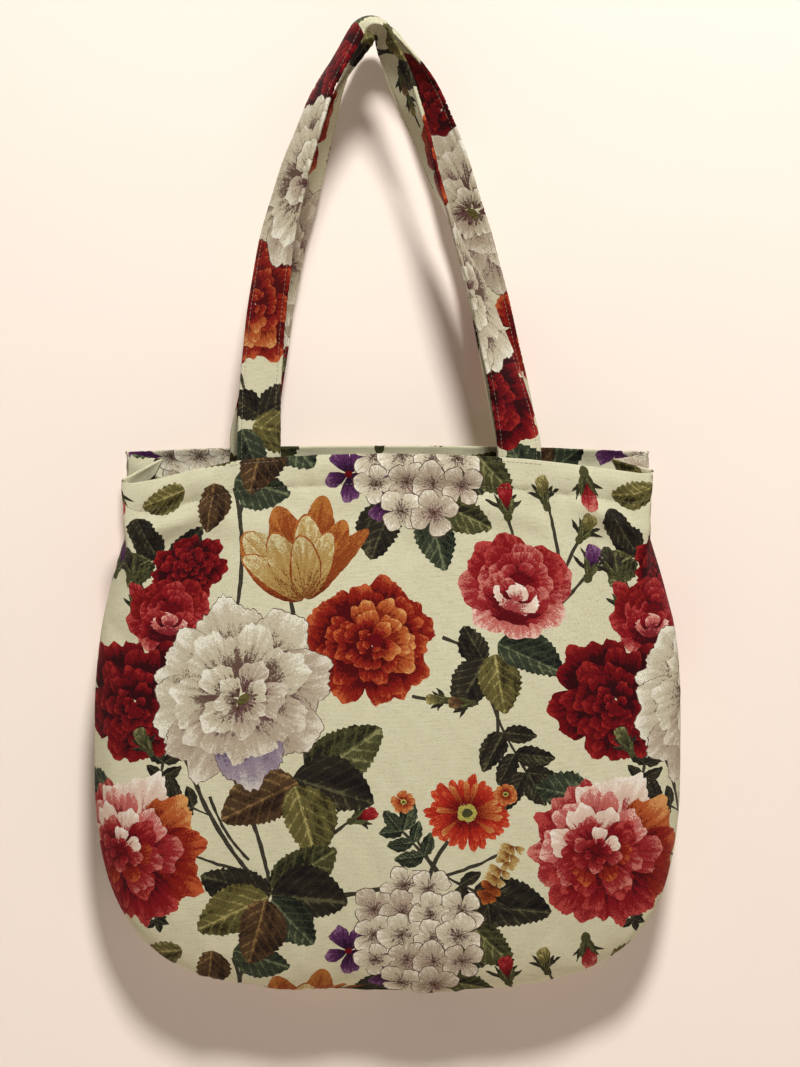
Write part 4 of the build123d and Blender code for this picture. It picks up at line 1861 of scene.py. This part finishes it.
    def stitch_lines(self) -> list[tuple[Array, Array]]:
        """Topstitched lines along both edges, on both faces.

        Returns:
            Points in millimetres and normals along each line.
        """
        along = np.arange(self.stitch_end, self.length - self.stitch_end, self.stitch_step)
        inset = self.topstitch - self.thickness / 2
        places = [at for start, end in self.faces() for at in (start + inset, end - inset)]
        return [self.table.read(np.full(len(along), around), along) for around in places]


def bag_handles(form: BodyForm) -> tuple[Handle, Handle]:
    """The two handles, each with the runs of its two legs.

    Args:
        form: The body that they are sewn to.

    Returns:
        The front handle and the back handle.
    """
    front = Handle(
        form,
        Side.FRONT,
        pattern_shift=(125.0, 134.0),
        lead=Leg(0.0, 100.0, 29.0, 112.0, (0.0, 0.14, 0.22, 0.28, 0.38, 0.48, 0.58, 0.7, 0.8)),
        trail=Leg(6.0, 90.0, 11.0, 80.0, (0.0, 0.3, 0.5, 0.7, 0.9, 1.1, 1.24, 1.4, 1.2)),
        left_slide=3.0,
    )
    back = Handle(
        form,
        Side.BACK,
        pattern_shift=(95.0, 134.0),
        lead=Leg(11.0, 90.0, 29.0, 100.0, (0.0, 0.12, 0.24, 0.3, 0.34, 0.38, 0.42, 0.5, 0.8)),
        trail=Leg(13.0, 86.0, 27.0, 84.0, (0.0, 0.2, 0.5, 0.64, 0.66, 0.7, 0.8, 1.06, 1.2)),
        left_slide=-5.0,
    )
    return front, back


class Wire:
    """An output of a shader node to reckon with: each step adds a Math node."""

    def __init__(self, graph: "Graph", socket: bpy.types.NodeSocket) -> None:
        """Keeps the output and its graph."""
        self.graph, self.socket = graph, socket

    def then(self, operation: str, other: Any) -> "Wire":
        """This and a number or another wire through a Math node."""
        return self.graph.math(operation, self, other)

    def after(self, operation: str, number: float) -> "Wire":
        """A number and this through a Math node."""
        return self.graph.math(operation, number, self)

    __add__, __radd__ = partialmethod(then, "ADD"), partialmethod(after, "ADD")
    __sub__, __rsub__ = partialmethod(then, "SUBTRACT"), partialmethod(after, "SUBTRACT")
    __mul__, __truediv__ = partialmethod(then, "MULTIPLY"), partialmethod(then, "DIVIDE")


class Graph:
    """Short way to add and join shader nodes in one tree."""

    # Places of the colour sockets among those of a Mix node.
    MIX_FACTOR, MIX_FIRST, MIX_SECOND, MIX_RESULT = 0, 6, 7, 2

    def __init__(self, tree: bpy.types.NodeTree) -> None:
        """Keeps the tree."""
        self.tree = tree

    def feed(self, node: bpy.types.Node, inputs: dict[Any, Any]) -> None:
        """Sets or joins a node's inputs.

        Args:
            node: The node.
            inputs: Plain values, wires or outputs for its inputs, by name or number.
        """
        for key, value in inputs.items():
            source = value.socket if isinstance(value, Wire) else value
            if isinstance(source, bpy.types.NodeSocket):
                self.tree.links.new(source, node.inputs[key])
            else:
                node.inputs[key].default_value = source

    def node(self, kind: str, inputs: dict[Any, Any] | None = None, **settings: Any) -> bpy.types.Node:
        """Adds a node.

        Args:
            kind: Its type.
            inputs: What its inputs get, by name or number.
            **settings: Its properties.

        Returns:
            The node.
        """
        made = self.tree.nodes.new(kind)
        for name, value in settings.items():
            setattr(made, name, value)
        self.feed(made, inputs or {})
        return made

    def wire(
        self, kind: str, inputs: dict[Any, Any] | None = None, output: Any = 0, **settings: Any
    ) -> Wire:
        """One output, by name or number, of a node that is added as node() adds it."""
        return Wire(self, self.node(kind, inputs, **settings).outputs[output])

    def math(self, operation: str, *values: Any) -> Wire:
        """Result of a Math node on numbers or wires."""
        return self.wire("ShaderNodeMath", dict(enumerate(values)), operation=operation)

    def band(self, value: Any, low: float, high: float) -> Wire:
        """Share from 0 to 1 that a value has come from low to high, eased."""
        inputs = {"Value": value, "From Min": low, "From Max": high}
        return self.wire("ShaderNodeMapRange", inputs, "Result", interpolation_type="SMOOTHSTEP")

    def blend(self, share: Any, first: Any, second: Any, way: str = "MIX") -> Wire:
        """Colour between two colours.

        Args:
            share: How much of the second.
            first: First colour.
            second: Second colour.
            way: The kind of mixing.

        Returns:
            The mixed colour.
        """
        inputs = {self.MIX_FACTOR: share, self.MIX_FIRST: first, self.MIX_SECOND: second}
        kept = {"data_type": "RGBA", "blend_type": way, "clamp_factor": True}
        return self.wire("ShaderNodeMix", inputs, self.MIX_RESULT, **kept)

    def attribute(self, name: str, output: str) -> Wire:
        """Output of an attribute that the mesh carries."""
        return self.wire("ShaderNodeAttribute", None, output, attribute_name=name)

    def combine(self, *values: Any) -> Wire:
        """Vector made of up to three numbers or wires."""
        return self.wire("ShaderNodeCombineXYZ", dict(enumerate(values)))

    def split(self, vector: Any) -> list[Wire]:
        """The three parts of a vector."""
        return [Wire(self, part) for part in self.node("ShaderNodeSeparateXYZ", {0: vector}).outputs]

    def noise(self, vector: Any, scale: float, detail: float = 2.0) -> Wire:
        """Soft noise from 0 to 1 at a place."""
        return self.wire("ShaderNodeTexNoise", {"Vector": vector, "Scale": scale, "Detail": detail})


def new_group(
    name: str, inputs: Sequence[str], outputs: dict[str, str]
) -> tuple[Graph, list[Wire], bpy.types.Node]:
    """Makes an empty shader node group that takes a place in the flat cut, and numbers.

    Args:
        name: Its name.
        inputs: Names of the numbers that it takes after the place.
        outputs: Socket types of its outputs, by name.

    Returns:
        A graph on the group, its inputs and its output node.
    """
    tree = bpy.data.node_groups.new(name, "ShaderNodeTree")
    tree.interface.new_socket("Place", in_out="INPUT", socket_type="NodeSocketVector")
    for label in inputs:
        tree.interface.new_socket(label, in_out="INPUT", socket_type="NodeSocketFloat")
    for label, kind in outputs.items():
        tree.interface.new_socket(label, in_out="OUTPUT", socket_type=kind)
    graph = Graph(tree)
    enter = graph.node("NodeGroupInput")
    taken = [Wire(graph, enter.outputs[label]) for label in ("Place", *inputs)]
    return graph, taken, graph.node("NodeGroupOutput")


@dataclass(frozen=True)
class Weave:
    """Ribbed tapestry weave: distances between its threads in millimetres, and how fine its slubs are."""

    warp: float = 0.75
    weft: float = 0.9
    slub_across: float = 0.1
    slub_down: float = 1.1

    def group(self) -> bpy.types.NodeTree:
        """Node group that gives the threads' height, a number that differs by thread, and the slubs.

        Returns:
            The group.
        """
        outputs = dict.fromkeys(("Height", "Thread", "Slub"), "NodeSocketFloat")
        graph, (place,), leave = new_group("tapestry_weave", (), outputs)
        across, down, _ = graph.split(place)
        ends, picks = across / self.warp, down / self.weft
        column, row = graph.math("FLOOR", ends), graph.math("FLOOR", picks)
        cell = graph.combine(column, row)
        thread = graph.wire("ShaderNodeTexWhiteNoise", {"Vector": cell}, "Value", noise_dimensions="3D")
        ribs = [graph.math("ABSOLUTE", graph.math("SINE", run * math.pi)) for run in (ends, picks)]
        over = graph.math("ABSOLUTE", graph.math("MODULO", column + row, 2.0))
        height = ribs[0] * over + ribs[1] * (1.0 - over)
        slub = graph.noise(graph.combine(across * self.slub_across, down * self.slub_down), 1.0, 3.0)
        graph.feed(leave, {"Height": height, "Thread": thread, "Slub": slub})
        return graph.tree


@dataclass(frozen=True)
class YarnShading:
    """How a patch's tone runs: streaks along petals, veins and a rib on leaves, slubs on plain cloth."""

    seed_by_root: float = 7.31
    seed_by_angle: float = 3.7
    streaks_across: float = 3.2
    streaks_along: float = 1.3
    petal_rise: float = 0.9
    streak_tone: float = 1.2
    leaf_tone: float = 0.34
    leaf_patches: float = 2.6
    leaf_patch_tone: float = 1.5
    leaf_half_tone: float = 0.12
    veins_along: float = 40.0
    veins_aside: float = 13.0
    vein_sway: float = 5.0
    vein_sharpness: float = 2.5
    vein_tone: float = 0.3
    rib_edges: Pair = (0.03, 0.1)
    rib_tone: float = 0.4
    plain_tone: float = 0.42
    slub_tone: float = 1.2
    thread_tone: float = 0.34
    deep_band: Pair = (0.02, 0.42)
    light_band: Pair = (0.55, 1.05)

    def group(self) -> bpy.types.NodeTree:
        """Node group that takes a place and the weave's threads and slubs, and gives the colour.

        Returns:
            The group.
        """
        outputs = {"Color": "NodeSocketColor"}
        graph, (place, thread, slub), leave = new_group("yarn_shading", ("Thread", "Slub"), outputs)
        across, down, _ = graph.split(place)
        root_across, root_down, angle = graph.split(graph.attribute("motif_root", "Vector"))
        length, spread, shade = graph.split(graph.attribute("motif_form", "Vector"))
        out_across, out_down = across - root_across, down - root_down
        seed = root_across * self.seed_by_root + angle * self.seed_by_angle
        far = graph.math("POWER", out_across * out_across + out_down * out_down, 0.5) / length
        turned = graph.math("ARCTAN2", out_down, out_across) - angle
        aside = graph.math("WRAP", turned, math.pi, -math.pi) / spread
        streaked = graph.combine(aside * self.streaks_across, far * self.streaks_along, seed)
        streak = graph.noise(streaked, 2.0, 3.0)
        petal = (far - shade) / (1.0 - shade) * self.petal_rise + (streak - 0.5) * self.streak_tone
        cosine, sine = graph.math("COSINE", angle), graph.math("SINE", angle)
        along = (out_across * cosine + out_down * sine) / length
        beside = (out_down * cosine - out_across * sine) / spread
        apart = graph.math("ABSOLUTE", beside)
        patchy = graph.noise(graph.combine(along, beside, seed), self.leaf_patches, 3.0)
        wave = along * self.veins_along - apart * self.veins_aside + patchy * self.vein_sway
        vein = graph.math("MAXIMUM", graph.math("SINE", wave), 0.0)
        leaf = self.leaf_tone + graph.math("POWER", vein, self.vein_sharpness) * self.vein_tone
        leaf = leaf + graph.math("SIGN", beside) * self.leaf_half_tone
        leaf = leaf + (patchy - 0.5) * self.leaf_patch_tone
        leaf = leaf + (1.0 - graph.band(apart, *self.rib_edges)) * self.rib_tone
        plain = self.plain_tone + (slub - 0.5) * self.slub_tone
        kind = graph.attribute("motif_kind", "Fac")
        is_leaf = graph.math("GREATER_THAN", kind, Kind.PETAL.value + 0.5)
        is_petal = graph.math("GREATER_THAN", kind, Kind.PLAIN.value + 0.5) - is_leaf
        is_plain = graph.math("LESS_THAN", kind, Kind.PLAIN.value + 0.5)
        tone = petal * is_petal + leaf * is_leaf + plain * is_plain + (thread - 0.5) * self.thread_tone
        deep, body, light = (graph.attribute(name, "Color") for name in INK_LAYERS)
        lower = graph.blend(graph.band(tone, *self.deep_band), deep, body)
        graph.feed(leave, {"Color": graph.blend(graph.band(tone, *self.light_band), lower, light)})
        return graph.tree


def new_material(name: str) -> tuple[bpy.types.Material, Graph, bpy.types.Node]:
    """Makes a material with nodes.

    Args:
        name: Its name.

    Returns:
        The material, a graph on its nodes and its Principled shader.
    """
    made = bpy.data.materials.new(name)
    made.use_nodes = True
    return made, Graph(made.node_tree), made.node_tree.nodes["Principled BSDF"]


@dataclass(frozen=True)
class TapestryFinish:
    """Woven jacquard cloth: yarn colours on a ribbed weave, painted shade between threads, and its paler
    reverse.
    """

    weave: bpy.types.NodeTree
    yarn: bpy.types.NodeTree
    roughness: float = 0.85
    sheen: float = 0.03
    specular: float = 0.08
    weave_depth: float = 0.0005
    weave_strength: float = 0.55
    # Height up to which the weave's hollows get painted shade, and the colour factor of that shade.
    hollow: float = 0.6
    hollow_painted_shade: tuple[float, ...] = (0.8, 0.79, 0.78, 1.0)
    ridge_tint: tuple[float, ...] = (1.0, 1.0, 1.0, 1.0)
    float_scale: tuple[float, ...] = (0.16, 1.3, 1.0)
    float_band: Pair = (0.35, 0.65)
    float_least: float = 0.45
    float_more: float = 0.35

    def material(self, name: str, reverse: bool) -> bpy.types.Material:
        """Makes one side of the cloth.

        Args:
            name: Name of the material.
            reverse: True for the side that shows the floats of the yarn.

        Returns:
            The material.
        """
        made, graph, shader = new_material(name)
        place = graph.wire("ShaderNodeUVMap", uv_map=CLOTH_LAYER)
        weave = graph.node("ShaderNodeGroup", node_tree=self.weave)
        graph.feed(weave, {"Place": place})
        yarn = graph.node("ShaderNodeGroup", node_tree=self.yarn)
        graph.feed(yarn, {"Place": place, **{label: weave.outputs[label] for label in ("Thread", "Slub")}})
        colour, height = yarn.outputs["Color"], weave.outputs["Height"]
        if reverse:
            stretched = graph.wire("ShaderNodeMapping", {"Vector": place, "Scale": self.float_scale})
            floats = graph.band(graph.noise(stretched, 1.0), *self.float_band)
            share = self.float_least + floats * self.float_more
            colour = graph.blend(share, colour, linear_colour(Yarn.GROUND.value.body))
        # Painted shade: the colour is darkened where the weave is low, in the hollows between the threads.
        painted_hollow_shade = graph.blend(graph.band(height, 0.0, self.hollow), self.hollow_painted_shade, self.ridge_tint)
        bumps = {"Strength": self.weave_strength, "Distance": self.weave_depth, "Height": height}
        inputs = {
            "Base Color": graph.blend(1.0, colour, painted_hollow_shade, "MULTIPLY"),
            "Normal": graph.wire("ShaderNodeBump", bumps),
            "Roughness": self.roughness,
            "Sheen Weight": self.sheen,
            "Specular IOR Level": self.specular,
        }
        graph.feed(shader, inputs)
        return made


@dataclass(frozen=True)
class ThreadFinish:
    """Twisted sewing thread."""

    shade: Shade = (150, 138, 110)
    shadow: Shade = (104, 92, 70)
    twist: float = 900.0
    roughness: float = 0.7

    def material(self, name: str) -> bpy.types.Material:
        """Makes the thread's material.

        Args:
            name: Its name.

        Returns:
            The material.
        """
        made, graph, shader = new_material(name)
        place = graph.wire("ShaderNodeTexCoord", output="Object")
        ply = graph.wire("ShaderNodeTexWave", {"Vector": place, "Scale": self.twist, "Distortion": 1.0}, 1)
        colour = graph.blend(ply, linear_colour(self.shadow), linear_colour(self.shade))
        graph.feed(shader, {"Base Color": colour, "Roughness": self.roughness})
        return made


@dataclass
class Seamwork:
    """Rows of lockstitch, each stitch a short bent length of thread."""

    stitch: float = 2.6
    space: float = 0.7
    thread: float = 0.42
    stand: float = 0.12

    def __post_init__(self) -> None:
        """Makes the one stitch that all rows repeat."""
        shape = bmesh.new()
        size = Matrix.Diagonal((self.thread / 2, self.thread / 2, self.stitch / 2, 1))
        bmesh.ops.create_uvsphere(shape, u_segments=6, v_segments=5, radius=1, matrix=size)
        shape.verts.ensure_lookup_table()
        self.corners = np.array([tuple(vertex.co) for vertex in shape.verts])
        self.faces = [[vertex.index for vertex in face.verts] for face in shape.faces]
        shape.free()

    def row(self, points: Array, normals: Array) -> Array:
        """Lays stitches along a line on the cloth.

        Args:
            points: The line, in millimetres, by fine steps.
            normals: Normals of the cloth along it.

        Returns:
            Corners of every stitch, in millimetres.
        """
        walk = run_lengths(points)
        starts = np.arange(0, walk[-1] - self.stitch, self.stitch + self.space)
        first, last = (read_along(places, walk, points) for places in (starts, starts + self.stitch))
        along = unit(last - first)
        side = unit(np.cross(read_along(starts + self.stitch / 2, walk, normals), along))
        up = np.cross(along, side)
        middle = (first + last) / 2 + up * self.thread * self.stand
        turned = np.stack([side, up, along], axis=1)
        return middle[:, None, :] + np.einsum("kc,ncx->nkx", self.corners, turned)

    def sew(self, name: str, lines: Sequence[tuple[Array, Array]]) -> bpy.types.Object:
        """Sews along lines.

        Args:
            name: Name of the piece.
            lines: Points and normals of the cloth along each line.

        Returns:
            All the stitches as one piece.
        """
        stitches = np.vstack([self.row(*line) for line in lines])
        count = len(self.corners)
        faces = [[corner + n * count for corner in f] for n in range(len(stitches)) for f in self.faces]
        mesh = bpy.data.meshes.new(name)
        mesh.from_pydata((stitches.reshape(-1, 3) * MM).tolist(), [], faces)
        mesh.polygons.foreach_set("use_smooth", np.ones(len(mesh.polygons), bool))
        mesh.update()
        return add_object(name, mesh)


@dataclass(frozen=True)
class Lamp:
    """A round area lamp: its place, its size across in metres and its power in watts."""

    name: str
    place: tuple[float, float, float]
    size: float
    power: float


@dataclass
class Stage:
    """Pale wall and floor, soft studio light and the camera, in metres."""

    camera_distance: float = 1.9
    sensor: float = 36.0
    frame_height: float = 0.786
    frame_middle: Pair = (0.0184, -0.3748)
    wall_gap: float = 0.047
    wall_half: float = 3.0
    wall_shade: Shade = (234, 220, 208)
    floor_drop: float = 1.15
    floor_half: float = 4.0
    floor_shade: Shade = (208, 199, 191)
    cloud_scale: float = 5.0
    cloud_depth: int = 5
    world_colour: tuple[float, ...] = (1.0, 0.985, 0.97, 1.0)
    world_strength: float = 0.11
    lamps: tuple[Lamp, ...] = (
        Lamp("key", (0.3, -1.95, 1.75), 0.55, 108.0),
        Lamp("rear", (-0.4, 2.4, 0.5), 1.5, 62.0),
    )
    lamps_aim: tuple[float, float, float] = (0.0, 0.0, -0.4)

    def set_up(self) -> None:
        """Makes the wall and floor, the lamps, the world and the camera."""
        self.backdrop()
        self.lights()
        self.camera()

    def pale(self, name: str, shade: Shade) -> bpy.types.Material:
        """Material of the wall or floor: matt, open to light and to views from behind.

        Args:
            name: Name of the material.
            shade: Its colour.

        Returns:
            The material.
        """
        made, graph, shader = new_material(name)
        place = graph.wire("ShaderNodeTexCoord", output="Object")
        low = linear_colour(tuple(part - self.cloud_depth for part in shade))
        colour = graph.blend(graph.noise(place, self.cloud_scale, 3.0), low, linear_colour(shade))
        graph.feed(shader, {"Base Color": colour, "Roughness": 1.0, "Specular IOR Level": 0.0})
        behind = graph.wire("ShaderNodeNewGeometry", output="Backfacing")
        path = graph.wire("ShaderNodeLightPath", output="Is Shadow Ray")
        clear = graph.wire("ShaderNodeBsdfTransparent")
        inputs = {0: graph.math("MAXIMUM", behind, path), 1: shader.outputs[0], 2: clear}
        mixed = graph.wire("ShaderNodeMixShader", inputs)
        graph.feed(made.node_tree.nodes["Material Output"], {"Surface": mixed})
        return made

    def backdrop(self) -> None:
        """Makes the wall behind the bag and the floor below it."""
        upright = Matrix.Translation((0, self.wall_gap, 0)) @ Matrix.Rotation(math.pi / 2, 4, "X")
        level = Matrix.Translation((0, 0, -self.floor_drop))
        for name, placed, half, shade in (
            ("wall", upright, self.wall_half, self.wall_shade),
            ("floor", level, self.floor_half, self.floor_shade),
        ):
            shape = bmesh.new()
            bmesh.ops.create_grid(shape, x_segments=2, y_segments=2, size=half, matrix=placed)
            mesh = bpy.data.meshes.new(name)
            shape.to_mesh(mesh)
            shape.free()
            mesh.materials.append(self.pale(f"{name}_paint", shade))
            add_object(name, mesh)

    def lights(self) -> None:
        """Makes a lamp above the front, one behind the wall for views from there, and an even world."""
        world = bpy.data.worlds.new("studio")
        bpy.context.scene.world = world
        world.use_nodes = True
        back = world.node_tree.nodes["Background"]
        back.inputs["Color"].default_value = self.world_colour
        back.inputs["Strength"].default_value = self.world_strength
        for lamp in self.lamps:
            data = bpy.data.lights.new(lamp.name, "AREA")
            data.shape, data.size, data.energy = "DISK", lamp.size, lamp.power
            holder = add_object(lamp.name, data)
            holder.location = lamp.place
            aim = Vector(self.lamps_aim) - Vector(lamp.place)
            holder.rotation_euler = aim.to_track_quat("-Z", "Y").to_euler()

    def camera(self) -> None:
        """Makes the level camera that frames the hanging bag."""
        data = bpy.data.cameras.new("camera")
        data.sensor_width = self.sensor
        data.lens = data.sensor_width * self.camera_distance / self.frame_height
        holder = add_object("camera", data)
        across, height = self.frame_middle
        holder.location = (across, -self.camera_distance, height)
        holder.rotation_euler = (math.pi / 2, 0, 0)
        bpy.context.scene.camera = holder
        bpy.context.scene.view_settings.view_transform = "Standard"


def dress(
    node: str, cloth: bpy.types.Object, stitches: bpy.types.Object, finishes: dict[str, Any]
) -> None:
    """Gives a cloth and its stitches their materials, says what they ride on, and hides the CAD part that
    they stand for.

    Args:
        node: Node of the CAD part that the cloth stands for.
        cloth: The cloth.
        stitches: Its stitches.
        finishes: Materials of the "cloth", side by side, and of the "thread".
    """
    for part, materials in ((cloth, finishes["cloth"]), (stitches, finishes["thread"])):
        for material in materials:
            part.data.materials.append(material)
        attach(part, BODY)
    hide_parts(node)


def main() -> None:
    """Builds the bag's pieces, dresses them and sets the stage."""
    logging.basicConfig(level=logging.INFO, format="%(name)s: %(message)s")
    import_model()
    Stage().set_up()
    repeat = FloralRepeat()
    LOG.info("repeat: %d patches of yarn", len(repeat.shapes))
    finish = TapestryFinish(Weave().group(), YarnShading().group())
    face, reverse = finish.material("tapestry_face", False), finish.material("tapestry_reverse", True)
    thread = ThreadFinish().material("sewing_thread")
    form, seamwork = BodyForm(), Seamwork()
    for handle in bag_handles(form):
        node = f"{handle.side.name.lower()}_handle"
        strap = handle.build(f"{node}_strap", repeat)
        stitches = seamwork.sew(f"{node}_topstitch", handle.stitch_lines())
        dress(node, strap, stitches, {"cloth": [face], "thread": [thread]})
        LOG.info("%s: %d triangles, %.0f mm long", strap.name, len(strap.data.polygons), handle.length)
    for panel in bag_panels(form):
        node = f"{panel.side.name.lower()}_panel"
        cloth, cut = panel.build(f"{node}_cloth", repeat)
        stitches = seamwork.sew(f"{node}_hem_stitch", panel.stitch_lines())
        dress(node, cloth, stitches, {"cloth": [face, reverse], "thread": [thread]})
        cut.area()
        LOG.info("%s: %d triangles, flat %.3f m2", cloth.name, len(cloth.data.polygons), cut.area())


if __name__ == "__main__":
    main()
